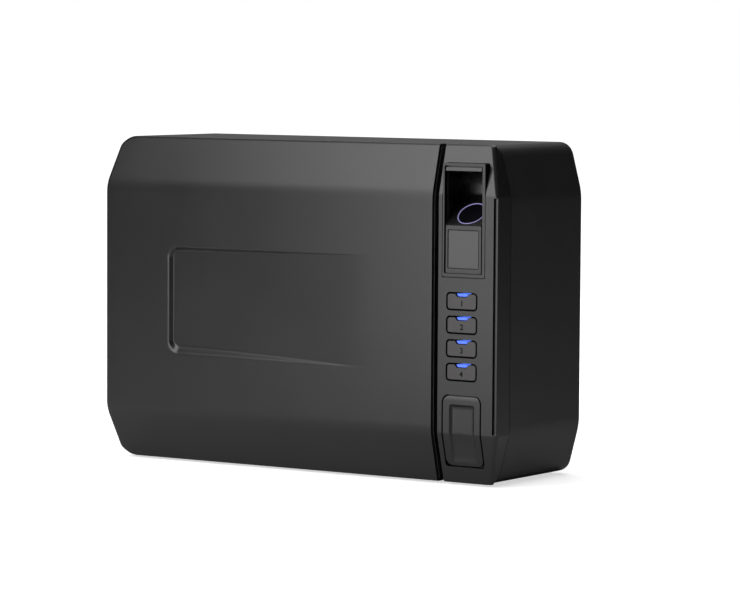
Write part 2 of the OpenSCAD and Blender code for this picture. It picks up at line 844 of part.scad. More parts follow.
module lock_cover() {
    color(plastic_black) placed() difference() {
        union() {
            intersection() {
                difference() {
                    envelope(0, 0, seam_y);
                    envelope(cover_t, 0, seam_y + eps);
                }
                front_prism(cover_outline(0, 0), 0, cover_axis_y + 2);
            }
            rod_x(cover_knuckle_r, column_x - cover_w / 2 + 0.4, column_x + cover_w / 2 - 0.4,
                  cover_axis_y, cover_axis_z);
            block([column_x - cover_w / 2 + 0.4, column_x + cover_w / 2 - 0.4],
                  [cover_axis_y - 3, cover_axis_y], [cover_axis_z - 1.2, cover_axis_z + 1.2]);
        }
        rod_x(cover_pin_r + fit, column_x - cover_w, column_x + cover_w, cover_axis_y, cover_axis_z);
        difference() {
            front_prism(rounded_rect([column_x - recess_w / 2, column_x + recess_w / 2],
                                     [keyhole_low, keyhole_top], 2), -eps, seam_y);
            translate([0, 0, keyhole_low]) rotate([-fade, 0, 0]) translate([0, 0, -keyhole_low])
                envelope(0, 0, body_d);
        }
    }
}

module cover_pin() {
    reach = cover_w / 2 + cover_gap + pin_seat;
    color(bare_steel) placed()
        rod_x(cover_pin_r, column_x - reach, column_x + reach, cover_axis_y, cover_axis_z);
}

module key_cylinder() {
    color([0.7, 0.7, 0.72]) placed() difference() {
        union() {
            rod_y(cylinder_r, recess_floor, cam_y - 1, column_x, cylinder_z);
            rod_y(cylinder_r + 1.5, recess_floor - 2, recess_floor, column_x, cylinder_z);
            rod_y(cylinder_r + nut_w, recess_floor + 2, recess_floor + 5, column_x, cylinder_z);
        }
        rod_y(plug_r + fit, recess_floor - 2 - eps, cam_y, column_x, cylinder_z);
    }
}

module key_plug() {
    keyway_w = 1.6;
    keyway_h = 8;
    keyway_d = 14;
    front = recess_floor - 2.3;
    color([0.75, 0.68, 0.45]) placed() difference() {
        rod_y(plug_r, front, cam_y, column_x, cylinder_z);
        block([column_x - keyway_w / 2, column_x + keyway_w / 2], [front - eps, front + keyway_d],
              [cylinder_z - keyway_h / 2, cylinder_z + keyway_h / 2]);
    }
}

// A crank disc from y0 to y1 with its pin reaching to pin_y, an eighth of a turn off upright
module crank(x, z, y0, y1, pin_y) {
    px = x + crank_r * sin(45);
    pz = z + crank_r * cos(45);
    rod_y(crank_disc_r, y0, y1, x, z);
    rod_y(crank_pin_r, min(y0, pin_y), max(y1, pin_y), px, pz);
}

module key_cam() {
    color(bare_steel) placed()
        crank(column_x, cylinder_z, cam_y, cam_y + crank_disc_t, yoke_back + 1);
}

module power_port() {
    wall = 0.6;
    front = recess_floor - 0.4;
    color([0.7, 0.7, 0.72]) placed() difference() {
        block(span(column_x, port_w), [front, recess_floor + 5], span(port_z, port_h));
        block(span(column_x, port_w - 2 * wall), [front - eps, recess_floor + 4],
              span(port_z, port_h - 2 * wall));
    }
}

module yoke_slot(x, z) {
    px = x + crank_r * sin(45);
    half = crank_pin_r + yoke_gap;
    block([px - half, px + half], [yoke_y - eps, yoke_back + eps],
          [z + crank_r * cos(45) - half, z + crank_r + half]);
}

module bolt_carrier() {
    edge = crank_r * sin(45) + crank_pin_r + yoke_gap + 3.5;
    color(bare_steel) placed() difference() {
        union() {
            block([carrier_x, carrier_x + steel_t], [bolt_y - 5.4, yoke_back], [bolt_z - 8, carrier_top]);
            block([carrier_x, motor_x + edge], [yoke_y, yoke_back], [cylinder_z - 6, carrier_top]);
            block([carrier_x, column_x + edge], [yoke_y, yoke_back], [cylinder_z - 6, cylinder_z + 14]);
            for (z = bolt_zs) {
                rod_x(bolt_r, bulkhead_x - 2.5, carrier_x, bolt_y, z);
                rod_x(stem_r, carrier_x + steel_t, stem_end, bolt_y, z);
            }
        }
        yoke_slot(motor_x, motor_z);
        yoke_slot(column_x, cylinder_z);
    }
}

module bolt_guide() {
    low = bolt_z - 12;
    high = bolt_zs[bolt_count - 1] + 12;
    y = [bolt_y - 5.4, yoke_y - 1];
    color(bare_steel) placed() difference() {
        union() {
            block([guide_x, guide_x + steel_t], y, [low, high]);
            block([bay_x, guide_x + steel_t], y, [low, low + steel_t]);
            block([bay_x, guide_x + steel_t], y, [high - steel_t, high]);
        }
        for (z = bolt_zs) rod_x(stem_r + fit, guide_x - eps, guide_x + steel_t + eps, bolt_y, z);
    }
}

module drive_crank() {
    color(bare_steel) placed() {
        crank(motor_x, motor_z, crank_y, crank_y + crank_disc_t, yoke_y - 0.5);
        rod_y(shaft_r, crank_y + crank_disc_t, bracket_y + steel_t + 6, motor_x, motor_z);
    }
}

module motor_bracket() {
    reach = gearbox_r + 2;
    color([0.5, 0.5, 0.52]) placed() difference() {
        union() {
            block([bay_x, motor_x + reach], [bracket_y, bracket_y + steel_t],
                  [motor_z - reach, motor_z + reach]);
            block([bay_x, bay_x + steel_t], [bracket_y, bracket_y + 16],
                  [motor_z - reach, motor_z + reach]);
        }
        rod_y(shaft_r + fit, bracket_y - eps, bracket_y + steel_t + eps, motor_x, motor_z);
        block([bay_x - eps, motor_x], [bracket_y + steel_t, bracket_y + 17],
              [motor_z - gearbox_r - 0.3, motor_z + gearbox_r + 0.3]);
    }
}

module lock_motor() {
    front = bracket_y + steel_t;
    color([0.66, 0.66, 0.62]) placed() difference() {
        union() {
            rod_y(gearbox_r - 0.5, front, front + gearbox_l, motor_x, motor_z);
            rod_y(motor_r, front + gearbox_l, front + gearbox_l + motor_l, motor_x, motor_z);
        }
        rod_y(shaft_r + fit, front - eps, front + 6.5, motor_x, motor_z);
    }
}

// Batteries

module battery_box() {
    color([0.1, 0.1, 0.11]) placed() difference() {
        block([bay_x, bay_x + box_in_w + box_t], [box_y, box_in_y + box_in_w + box_t],
              [box_low, box_in_z + box_in_h + box_t]);
        block([bay_x - eps, bay_x + box_in_w], [box_in_y, box_in_y + box_in_w],
              [box_in_z, box_in_z + box_in_h]);
    }
}

// Where each upright cell stands; neighbours point opposite ways
function cell_places() =
    [for (i = [0:row_count - 1], j = [0:row_count - 1])
        [bay_x + cell_pitch * (i + 0.5), box_in_y + cell_pitch * (j + 0.5), (i + j) % 2]];

module batteries() {
    nub_r = 2.7;
    z0 = box_in_z + contact_l;
    z1 = z0 + cell_l;
    color([0.2, 0.35, 0.55]) placed() for (p = cell_places()) {
        rod_z(cell_r, z0, z1, p[0], p[1]);
        rod_z(nub_r, p[2] ? z0 - cell_nub : z1, p[2] ? z0 : z1 + cell_nub, p[0], p[1]);
    }
}

// A pressed spring at each cell's flat end and a plate at its nub
module battery_contacts() {
    spring_r = 3.2;
    plate_w = 9;
    far = box_in_z + box_in_h;
    color([0.85, 0.75, 0.4]) placed() for (p = cell_places()) {
        spring = p[2] ? [far - contact_l, far] : [box_in_z, box_in_z + contact_l];
        plate = p[2] ? [box_in_z, box_in_z + contact_l - cell_nub] : [far - contact_l + cell_nub, far];
        rod_z(spring_r, spring[0], spring[1], p[0], p[1]);
        block(span(p[0], plate_w), span(p[1], plate_w), plate);
    }
}

module battery_lid() {
    color(plastic_black) placed() difference() {
        block([bulkhead_x - lid_t, bulkhead_x], [box_in_y - lid_lap, box_in_y + box_in_w + lid_lap],
              [box_in_z - lid_lap, box_in_z + box_in_h + box_t + lid_tab]);
        rod_x(screw_r + loose, bulkhead_x - lid_t - eps, bulkhead_x + eps, lid_screw_y, lid_screw_z);
    }
}

module lid_screw() {
    color(bare_steel) placed() {
        rod_x(screw_r - fit, bulkhead_x - lid_t, bay_x + 3, lid_screw_y, lid_screw_z);
        rod_x(2 * screw_r, bulkhead_x - lid_t - 1.4, bulkhead_x - lid_t, lid_screw_y, lid_screw_z);
    }
}

// Main board

// A plate with a chip, a connector block and two capacitors
module main_board() {
    chip = 14;
    block_w = 8;
    block_h = 16;
    cap_r = 4;
    cap_l = 10;
    inner = [main_y[0] + 4 * cap_r, main_z[0] + 3 * cap_r];
    color(board_green) placed() {
        block([main_x, main_x + board_t], main_y, main_z);
        block([main_x - 2, main_x], [inner[0], inner[0] + chip], span((main_z[0] + main_z[1]) / 2, chip));
        block([main_x - cap_l, main_x], [main_y[1] - 2 * block_w, main_y[1] - block_w],
              [inner[1], inner[1] + block_h]);
        for (i = [0, 1]) rod_x(cap_r, main_x - cap_l, main_x, inner[0] + i * 3 * cap_r, inner[1]);
    }
}

module board_posts() {
    color([0.8, 0.7, 0.4]) placed()
        for (y = [main_y[0] + 4, main_y[1] - 4], z = [main_z[0] + 5, main_z[1] - 12])
            rod_x(2.5, main_x + board_t, half_w - case_t, y, z);
}

rear_case();
front_frame();
bulkhead();
feet();
floor_mat();
cabin_light();
hinge_case_leaf();
hinge_pin();
door_seal();
door_cover();
door_plate();
door_pad();
striker_plate();
hinge_door_leaf();
control_bezel();
bezel_screws();
scanner_housing();
finger_sensor();
sensor_ring();
display_frame();
display_window();
display_board();
key_cap(0);  // key_1
key_cap(1);  // key_2
key_cap(2);  // key_3
key_cap(3);  // key_4
key_lights();
key_board();
ribbon_cable();
lock_well();
lock_cover();
cover_pin();
key_cylinder();
key_plug();
key_cam();
power_port();
bolt_carrier();
bolt_guide();
drive_crank();
lock_motor();
motor_bracket();
battery_box();
batteries();
battery_contacts();
battery_lid();
lid_screw();
main_board();
board_posts();
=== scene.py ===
import json
import math

import bmesh
import bpy
from mathutils import Matrix, Vector

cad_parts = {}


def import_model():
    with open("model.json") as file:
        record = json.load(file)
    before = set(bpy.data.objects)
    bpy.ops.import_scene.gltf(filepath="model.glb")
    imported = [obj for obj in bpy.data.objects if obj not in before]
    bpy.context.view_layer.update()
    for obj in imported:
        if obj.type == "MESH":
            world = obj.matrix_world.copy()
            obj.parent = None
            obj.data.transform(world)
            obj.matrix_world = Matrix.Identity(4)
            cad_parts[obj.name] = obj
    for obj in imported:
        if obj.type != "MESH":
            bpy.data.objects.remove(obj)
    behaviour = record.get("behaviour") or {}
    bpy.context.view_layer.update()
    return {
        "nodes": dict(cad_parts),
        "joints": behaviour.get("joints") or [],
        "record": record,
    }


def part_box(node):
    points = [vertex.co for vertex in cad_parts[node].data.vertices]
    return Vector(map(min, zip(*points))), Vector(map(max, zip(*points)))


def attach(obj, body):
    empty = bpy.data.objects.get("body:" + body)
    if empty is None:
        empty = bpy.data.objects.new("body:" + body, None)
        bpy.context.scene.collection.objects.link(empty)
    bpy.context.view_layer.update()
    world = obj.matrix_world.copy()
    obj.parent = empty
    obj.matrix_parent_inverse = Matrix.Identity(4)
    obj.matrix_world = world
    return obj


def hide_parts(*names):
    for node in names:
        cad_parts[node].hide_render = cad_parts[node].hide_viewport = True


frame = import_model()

# Shapes are made in millimetres: x from the middle of the body, y back from its front plane,
# z up from the underside of the case. piece() puts them into the frame.
MM = 0.001
FRONT_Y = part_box("control_bezel")[0].y
BASE_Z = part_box("rear_case")[0].z


def ranges(node):
    """The CAD node's ranges of x, y and z in millimetres."""
    low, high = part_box(node)
    shift = Vector((0, FRONT_Y, BASE_Z))
    return [tuple(pair) for pair in zip((low - shift) / MM, (high - shift) / MM)]


def middle(pair):
    return (pair[0] + pair[1]) / 2


def grown(pair, gap):
    """A range made longer by a gap at both ends."""
    return pair[0] - gap, pair[1] + gap


CASE_X, CASE_Y, CASE_Z = ranges("rear_case")
DOOR_X, DOOR_Y, _ = ranges("door_cover")
PANEL_X, _, _ = ranges("control_bezel")
HALF_W = CASE_X[1]
HEIGHT = CASE_Z[1]
SEAM_Y = DOOR_Y[1]

# The body's form: at the top and the foot a band leans back from the flat front
BAND_H = 34
LEAN = 9
CREASE_R = 44  # where a band meets the flat
PANEL_CREASE_R = 7  # the same on the panel
FRONT_R = 2  # where a band meets the top or the underside
SIDE_R = 11  # corners of the body seen from the front
PANEL_R = 3  # corners of the panel's front on the right
EDGE_R = 8  # corners of the hollows
CORNER_R = 3  # upright corners between the front and the sides
CORNER_FLARE = 3.5  # what they gain towards the top and the underside
FLARE_H = 7
SKIN = 3.2  # wall of the door
PANEL_SKIN = SKIN - 0.2
RIM = 1.6  # wall beside the door's plate
WALL = 2.5  # wall of the steel case

# Step along the door's free edge
STEP_W = 0.9
STEP_DEPTH = 2.3

# The door's pocket: deepest at the left, running out at the right
POCKET_X = (-109.8, 53)
POCKET_Z = (75.1, 152.1)
POCKET_R = 9.5
POCKET_DEPTH = 2.8
POCKET_WALL = 4.1  # width of its upright wall
POCKET_FOOT_WALL = 6.9  # widths of its long walls at the left
POCKET_TOP_WALL = 2.6
POCKET_END_WALL = 0.4  # what is left of their widths at the right
POCKET_RUN = 1.6  # power of the run-out
POCKET_LAND = 0.12  # share of the depth below which it lands softly
POCKET_TAIL = 13  # how far the soft end reaches past POCKET_X
POCKET_OPEN = 60  # how far the outline goes on, so that no wall closes the right end

# Fine groove beside the outer corner of the panel, and the bead between them
GROOVE_S = 2.6  # from the side of the body to the groove's middle
GROOVE_W = 2.1
GROOVE_DEPTH = 1.8
GROOVE_WALL = (0.36, 0.5)  # shares of its width between which its walls rise
GROOVE_END = (1.2, 1.8)  # distances from the bands between which it ends
BEAD_TURN = math.tan(math.radians(11))
BEAD_CORNER_R = 0.5

# Scanner module
HOUSING_X, HOUSING_Y, HOUSING_Z = ranges("scanner_housing")
FLANGE_W = 1
FLANGE_LOW = 0.9  # how far the flange reaches below the module
MODULE_X = (HOUSING_X[0] + 0.25, HOUSING_X[1] - 1.9)
MODULE_Z = (HOUSING_Z[0] + FLANGE_LOW, HOUSING_Z[1])
MODULE_DEPTH = HOUSING_Y[1]
MODULE_TOP = 216.7
MODULE_GAP = 0.45  # beside it, in the panel's opening
REST_TILT = math.radians(40)  # slope of the finger rest
BROW = 4  # height of the brow over the finger opening
BROW_LEAN = 0.23
FINGER_H = 36.4
FINGER_Z = (MODULE_Z[1] - BROW - FINGER_H, MODULE_Z[1] - BROW)

# Keys and their lights
KEY_R = 1.8
KEY_GAP = 1.2
KEY_TRIM_X = (1.53, 2.08)  # from the sides of the solid to those of the cap
KEY_TRIM_Z = (1.88, 2.43)
KEY_SINK = 0.05  # depth of the caps and the numerals' backs behind the front plane
KEY_BACK = 3.2  # where the cap ends and its skirt begins
KEY_SKIRT_T = 1
STEM_R = 2.5
STEM_DROP = 1  # from the middle of the cap down to its stem
LIGHT_W = 8.8
LIGHT_H = 1.8
LIGHT_R = 0.8  # lower corners of the light
LIGHT_TOP_R = 0.15
LIGHT_RISE = 0.15  # over the top of its key
LIGHT_SINK = 0.8
LIGHT_GAP = 0.5
LIGHT_TAPER = 1.2  # how much narrower the light is at its foot, on each side

# Lock cover
COVER_X, COVER_Y, COVER_Z = ranges("lock_cover")
COVER_T = 2.4
COVER_GAP = 1.1
COVER_TOP_R = 4.5
COVER_FOOT_R = 4.5
OPENING_FOOT_R = 2.4  # small enough to let the cover fold down

# Numbers for meshes
MERGE = 1e-4  # vertices nearer than this are one
TOUCH = 0.01  # tolerance of a test for a plane, and between the points of a numeral


# Helpers for outlines

def fillet(a, p, b, r, steps):
    """Points of a corner of radius r, from a to b round p."""
    a, p, b = Vector(a), Vector(p), Vector(b)
    u, v = (a - p).normalized(), (b - p).normalized()
    half = u.angle(v) / 2
    centre = p + (u + v).normalized() * r / math.sin(half)
    start = p + u * r / math.tan(half) - centre
    end = p + v * r / math.tan(half) - centre
    turn = math.pi - 2 * half
    return [centre + (start * math.sin(turn * (1 - i / steps)) + end * math.sin(turn * i / steps))
            / math.sin(turn) for i in range(steps + 1)]


def rounded(points, radii, steps=6):
    """A closed outline with its corners rounded."""
    out = []
    count = len(points)
    for i, r in enumerate(radii):
        if r:
            out += fillet(points[i - 1], points[i], points[(i + 1) % count], r, steps)
        else:
            out.append(Vector(points[i]))
    return out


def rounded_rect(x, z, r, steps=6):
    return rounded([(x[0], z[0]), (x[1], z[0]), (x[1], z[1]), (x[0], z[1])], [r] * 4, steps)


def smooth(a, b, value):
    """A soft step from 0 at a to 1 at b."""
    t = min(max((value - a) / (b - a), 0), 1)
    return t * t * (3 - 2 * t)


def spread(a, b, step):
    """Even places from a to b, at most step apart."""
    count = max(1, math.ceil((b - a) / step))
    return [a + (b - a) * i / count for i in range(count + 1)]


# Helpers for meshes. Forms that cut reach 1 to 5 mm past what they cut.

def outward(bm):
    """Turns the faces of a closed mesh outward."""
    bm.normal_update()
    bmesh.ops.recalc_face_normals(bm, faces=bm.faces)
    return bm


def close(bm):
    """Fills each open boundary, and turns the faces outward."""
    bmesh.ops.holes_fill(bm, edges=[e for e in bm.edges if e.is_boundary], sides=0)
    return outward(bm)


def grid(rows):
    """An open mesh through rows of points, all of the same length."""
    bm = bmesh.new()
    verts = [[bm.verts.new(p) for p in row] for row in rows]
    for upper, lower in zip(verts, verts[1:]):
        for a, b, c, d in zip(upper, upper[1:], lower[1:], lower):
            bm.faces.new((a, b, c, d))
    return bm


def prism(outline, y0, y1):
    """A closed prism on an outline of x and z."""
    bm = bmesh.new()
    front = [bm.verts.new((p[0], y0, p[1])) for p in outline]
    back = [bm.verts.new((p[0], y1, p[1])) for p in outline]
    bm.faces.new(front)
    bm.faces.new(back[::-1])
    for i in range(len(front)):
        bm.faces.new((front[i - 1], back[i - 1], back[i], front[i]))
    return outward(bm)


def side_prism(outline, x0, x1):
    """A closed prism on an outline of y and z."""
    bm = prism([(p[0], p[1]) for p in outline], x0, x1)
    for v in bm.verts:
        v.co = Vector((v.co.y, v.co.x, v.co.z))
    return outward(bm)


def block(x, y, z):
    return prism([(x[0], z[0]), (x[1], z[0]), (x[1], z[1]), (x[0], z[1])], y[0], y[1])


def rod(axis, r, start, end, a, b, steps=48):
    """A closed cylinder along x or y; a and b are its place on the other two axes."""
    ring = [(a + r * math.cos(2 * math.pi * i / steps), b + r * math.sin(2 * math.pi * i / steps))
            for i in range(steps)]
    return prism(ring, start, end) if axis == "y" else side_prism(ring, start, end)


def cut(bm, point, normal):
    """Cuts off what lies beyond a plane, and closes the mesh."""
    bmesh.ops.bisect_plane(bm, geom=bm.verts[:] + bm.edges[:] + bm.faces[:], dist=MERGE,
                           plane_co=point, plane_no=normal, clear_outer=True)
    return close(bm)


def temporary(bm):
    """An object for a modifier, made of a mesh that it uses up."""
    mesh = bpy.data.meshes.new("temporary")
    bm.to_mesh(mesh)
    bm.free()
    obj = bpy.data.objects.new("temporary", mesh)
    bpy.context.scene.collection.objects.link(obj)
    return obj


def combine(bm, others, operation="DIFFERENCE"):
    """Takes closed meshes away from bm, or keeps or adds them."""
    target = temporary(bm)
    tools = [temporary(other) for other in others]
    for tool in tools:
        modifier = target.modifiers.new("combine", "BOOLEAN")
        modifier.operation = operation
        modifier.solver = "EXACT"
        modifier.object = tool
    ready = target.evaluated_get(bpy.context.evaluated_depsgraph_get())
    mesh = bpy.data.meshes.new_from_object(ready)
    out = bmesh.new()
    out.from_mesh(mesh)
    for obj in [target] + tools:
        old = obj.data
        bpy.data.objects.remove(obj)
        bpy.data.meshes.remove(old)
    bpy.data.meshes.remove(mesh)
    bmesh.ops.remove_doubles(out, verts=out.verts, dist=MERGE)
    return out


def soften(bm, width, steps=3, angle=40, where=None):
    """Rounds the sharp edges whose middle passes the test where."""
    edges = [e for e in bm.edges if len(e.link_faces) == 2
             and e.calc_face_angle() > math.radians(angle)
             and (where is None or where((e.verts[0].co + e.verts[1].co) / 2))]
    bmesh.ops.bevel(bm, geom=edges, offset=width, offset_type="OFFSET", segments=steps,
                    profile=0.5, affect="EDGES", clamp_overlap=True)
    return bm


def is_wall(face):
    """Whether a face runs back instead of across the front."""
    return abs(face.normal.y) < 0.3


def piece(name, bm, finish, body, replaces=(), angle=35):
    """Puts a mesh into the frame as a piece of the object."""
    bmesh.ops.dissolve_degenerate(bm, dist=2 * MERGE, edges=bm.edges)
    for v in bm.verts:
        v.co = Vector((v.co.x * MM, FRONT_Y + v.co.y * MM, BASE_Z + v.co.z * MM))
    mesh = bpy.data.meshes.new(name)
    bm.to_mesh(mesh)
    bm.free()
    mesh.shade_smooth()
    mesh.set_sharp_from_angle(angle=math.radians(angle))
    mesh.materials.append(finish)
    obj = bpy.data.objects.new(name, mesh)
    bpy.context.scene.collection.objects.link(obj)
    weighted = obj.modifiers.new("normals", "WEIGHTED_NORMAL")
    weighted.keep_sharp = True
    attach(obj, body)
    if replaces:
        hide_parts(*replaces)
    return obj


# Materials

def new_material(name):
    material = bpy.data.materials.new(name)
    material.use_nodes = True
    return material, material.node_tree.nodes, material.node_tree.links


NOISE_SPAN = (0.15, 0.85)  # where most values of a noise lie


def noise(nodes, links, place, scale):
    """A noise of this scale over the places."""
    node = nodes.new("ShaderNodeTexNoise")
    node.inputs["Scale"].default_value = scale
    node.inputs["Detail"].default_value = 2.0
    links.new(place, node.inputs["Vector"])
    return node.outputs["Fac"]


def remap(nodes, links, value, source, target, form="SMOOTHSTEP"):
    """Carries a value over from one range into another."""
    node = nodes.new("ShaderNodeMapRange")
    node.interpolation_type = form
    node.inputs["From Min"].default_value, node.inputs["From Max"].default_value = source
    node.inputs["To Min"].default_value, node.inputs["To Max"].default_value = target
    links.new(value, node.inputs["Value"])
    return node.outputs["Result"]


def surface(name, colour, roughness, grain=1500, relief=0.06, mottle=0.12, spread_r=0.05,
            metallic=0.0, coat=0.0, specular=0.5, blotch=35, stretch=None, glow=0.0,
            glow_colour=None, relief_depth=0.0002):
    """A procedural finish: a fine relief, and slow changes of tone and of roughness.

    grain and blotch are the scales of the fine and the slow noise, mottle and spread_r the
    changes of tone and of roughness, and stretch draws the grain out along an axis.
    """
    material, nodes, links = new_material(name)
    shader = nodes["Principled BSDF"]
    shader.inputs["Metallic"].default_value = metallic
    shader.inputs["Specular IOR Level"].default_value = specular
    shader.inputs["Coat Weight"].default_value = coat
    place = fine_place = nodes.new("ShaderNodeTexCoord").outputs["Object"]
    if stretch:
        mapping = nodes.new("ShaderNodeMapping")
        mapping.inputs["Scale"].default_value = stretch
        links.new(place, mapping.inputs["Vector"])
        fine_place = mapping.outputs["Vector"]
    fine = noise(nodes, links, fine_place, grain)
    slow = noise(nodes, links, place, blotch)
    mix = nodes.new("ShaderNodeMix")
    mix.data_type = "RGBA"  # its colours are the inputs 6 and 7 and the output 2
    mix.inputs[6].default_value = (*[c * (1 - mottle) for c in colour], 1)
    mix.inputs[7].default_value = (*[min(c * (1 + mottle), 1) for c in colour], 1)
    links.new(remap(nodes, links, slow, NOISE_SPAN, (0, 1)), mix.inputs[0])
    links.new(mix.outputs[2], shader.inputs["Base Color"])
    links.new(remap(nodes, links, slow, NOISE_SPAN, (roughness - spread_r, roughness + spread_r)),
              shader.inputs["Roughness"])
    bump = nodes.new("ShaderNodeBump")
    bump.inputs["Strength"].default_value = relief
    bump.inputs["Distance"].default_value = relief_depth
    links.new(fine, bump.inputs["Height"])
    links.new(bump.outputs["Normal"], shader.inputs["Normal"])
    if glow:
        shader.inputs["Emission Color"].default_value = (*(glow_colour or colour), 1)
        shader.inputs["Emission Strength"].default_value = glow
    return material


SHELL = surface("shell_plastic", (0.0085, 0.0085, 0.0087), 0.31, grain=2200, relief=0.07,
                mottle=0.1, spread_r=0.012, blotch=22)
MODULE = surface("module_plastic", (0.014, 0.014, 0.015), 0.34, grain=2600, relief=0.05,
                 mottle=0.1, spread_r=0.012)
# Darker than the module's plastic: painted shade inside the finger cavity
PAINTED_CAVITY_SHADE = surface("painted_cavity_shade", (0.004, 0.004, 0.004), 0.30, grain=2600, relief=0.05)
# Near-black, hardly glossy finish for the walls of gaps and openings: painted shade that stands for
# the shade falling into them
PAINTED_GAP_SHADE = surface("painted_gap_shade", (0.003, 0.003, 0.003), 0.7, grain=2600, relief=0.05,
              specular=0.08)
KEY_CAP = surface("key_plastic", (0.044, 0.040, 0.041), 0.44, grain=2600, relief=0.08,
                  mottle=0.1, spread_r=0.02)
CASE = surface("case_paint", (0.015, 0.015, 0.0155), 0.42, grain=900, relief=0.16,
               relief_depth=0.0004, mottle=0.1, spread_r=0.02)
FRAME_PAINT = surface("frame_paint", (0.020, 0.020, 0.021), 0.5, grain=1100, relief=0.2)
STEEL = surface("zinc_steel", (0.52, 0.53, 0.54), 0.32, grain=420, relief=0.08, metallic=1.0,
                mottle=0.08, stretch=(1, 1, 14))
NICKEL = surface("nickel", (0.62, 0.61, 0.58), 0.22, grain=900, relief=0.04, metallic=1.0)
BRASS = surface("brass", (0.60, 0.45, 0.20), 0.28, grain=900, relief=0.05, metallic=1.0)
RUBBER = surface("rubber", (0.012, 0.012, 0.012), 0.75, grain=1600, relief=0.3)
FOAM = surface("foam", (0.030, 0.030, 0.033), 0.95, grain=1900, relief=0.8, specular=0.15,
               relief_depth=0.0008, mottle=0.25)
FELT = surface("felt", (0.034, 0.034, 0.037), 0.95, grain=2600, relief=0.9, specular=0.1,
               relief_depth=0.0008, mottle=0.3, blotch=120)
LENS = surface("light_lens", (0.82, 0.82, 0.78), 0.35, grain=600, relief=0.1, mottle=0.03,
               glow=1.2, glow_colour=(0.95, 0.95, 0.9))
GLASS = surface("sensor_glass", (0.004, 0.004, 0.006), 0.10, grain=500, relief=0.01, coat=0.5,
                mottle=0.3, spread_r=0.03)
RING = surface("ring_light", (0.12, 0.10, 0.3), 0.4, grain=900, relief=0.05, mottle=0.1,
               glow=0.6, glow_colour=(0.32, 0.30, 0.52), blotch=90)
SCREEN = surface("screen", (0.085, 0.085, 0.086), 0.42, grain=3500, relief=0.03, specular=0.3,
                 mottle=0.04)
BOARD = surface("circuit_board", (0.010, 0.075, 0.035), 0.42, grain=380, relief=0.25, mottle=0.3,
                coat=0.3, blotch=220)
LIGHT = surface("key_light", (0.05, 0.10, 0.5), 0.4, grain=800, relief=0.05, mottle=0.12,
                glow=0.85, glow_colour=(0.10, 0.21, 1.0), blotch=160, specular=0.3)
CABLE = surface("cable", (0.32, 0.32, 0.33), 0.55, grain=700, relief=0.15, stretch=(1, 1, 30))
BOX_PLASTIC = surface("box_plastic", (0.020, 0.020, 0.021), 0.5, grain=1800, relief=0.12)
WRAP = surface("cell_wrap", (0.035, 0.035, 0.04), 0.3, grain=700, relief=0.05, mottle=0.2,
               coat=0.4)
INK = surface("ink", (0.004, 0.004, 0.004), 0.8, grain=2500, relief=0.1, specular=0.15)

# Each node's finish comes from the slot in its record; the pieces below name their own
BY_SLOT = {"case_paint": CASE, "frame_paint": FRAME_PAINT, "rubber": RUBBER, "foam": FOAM,
           "light_lens": LENS, "steel": STEEL, "shell_plastic": SHELL, "module_plastic": MODULE,
           "sensor_glass": GLASS, "ring_light": RING, "screen": SCREEN, "board": BOARD,
           "key_plastic": KEY_CAP, "key_light": LIGHT, "cable": CABLE, "nickel": NICKEL,
           "brass": BRASS, "box_plastic": BOX_PLASTIC, "cell_wrap": WRAP}

for part in frame["record"]["subparts"]:
    node = frame["nodes"][part["node"]]
    node.data.materials.clear()
    node.data.materials.append(BY_SLOT[part["material_slot"]])
    node.data.shade_smooth()
    node.data.set_sharp_from_angle(angle=math.radians(30))


# Body shell: the leaning bands run round the front and the sides

BAND_TILT = math.atan(LEAN / BAND_H)
RUN_ON = 30  # how far a profile runs on over the top and the underside
LEAST_EDGE_R = 0.5
LEAST_CREASE_R = 2


def band_inset(t):
    """Inset of a band's far edge, set in by t."""
    return t / math.cos(BAND_TILT) + LEAN * (BAND_H - t) / BAND_H


def crease_shift(t):
    """How far the crease moves from its height when it is set in by t."""
    return t * (1 / math.cos(BAND_TILT) - 1) * BAND_H / LEAN


def profile(t, edge_r, crease_r):
    """A line of inset and height over the bands, set in by t, from the underside up."""
    foot, low = band_inset(t), BAND_H + crease_shift(t)
    edge, crease = max(edge_r - t, LEAST_EDGE_R), max(crease_r - t, LEAST_CREASE_R)
    line = [(foot + RUN_ON, t), (foot, t), (t, low), (t, HEIGHT - low), (foot, HEIGHT - t),
            (foot + RUN_ON, HEIGHT - t)]
    corners = ((1, edge, 9), (2, crease, 5), (3, crease, 5), (4, edge, 9))
    return [tuple(p) for i, r, steps in corners
            for p in fillet(line[i - 1], line[i], line[i + 1], r, steps)]


def inset_on(line, z):
    """The inset at a height on a profile's line."""
    z = min(max(z, line[0][1]), line[-1][1])
    for (y0, z0), (y1, z1) in zip(line, line[1:]):
        if z0 <= z <= z1 and z1 > z0:
            return y0 + (y1 - y0) * (z - z0) / (z1 - z0)
    return line[-1][0]


ROW_GAP = 0.04  # rows nearer than this are one
FLAT_MARGIN = 0.95  # distance from the bands where flat_r begins
LEAST_SIDE = 0.3  # what a corner leaves of the side
LEAST_CORNER_R = 0.05
SIDE_STEPS = 3
DENT_REACH = 4  # depth behind the front at which a dent has faded


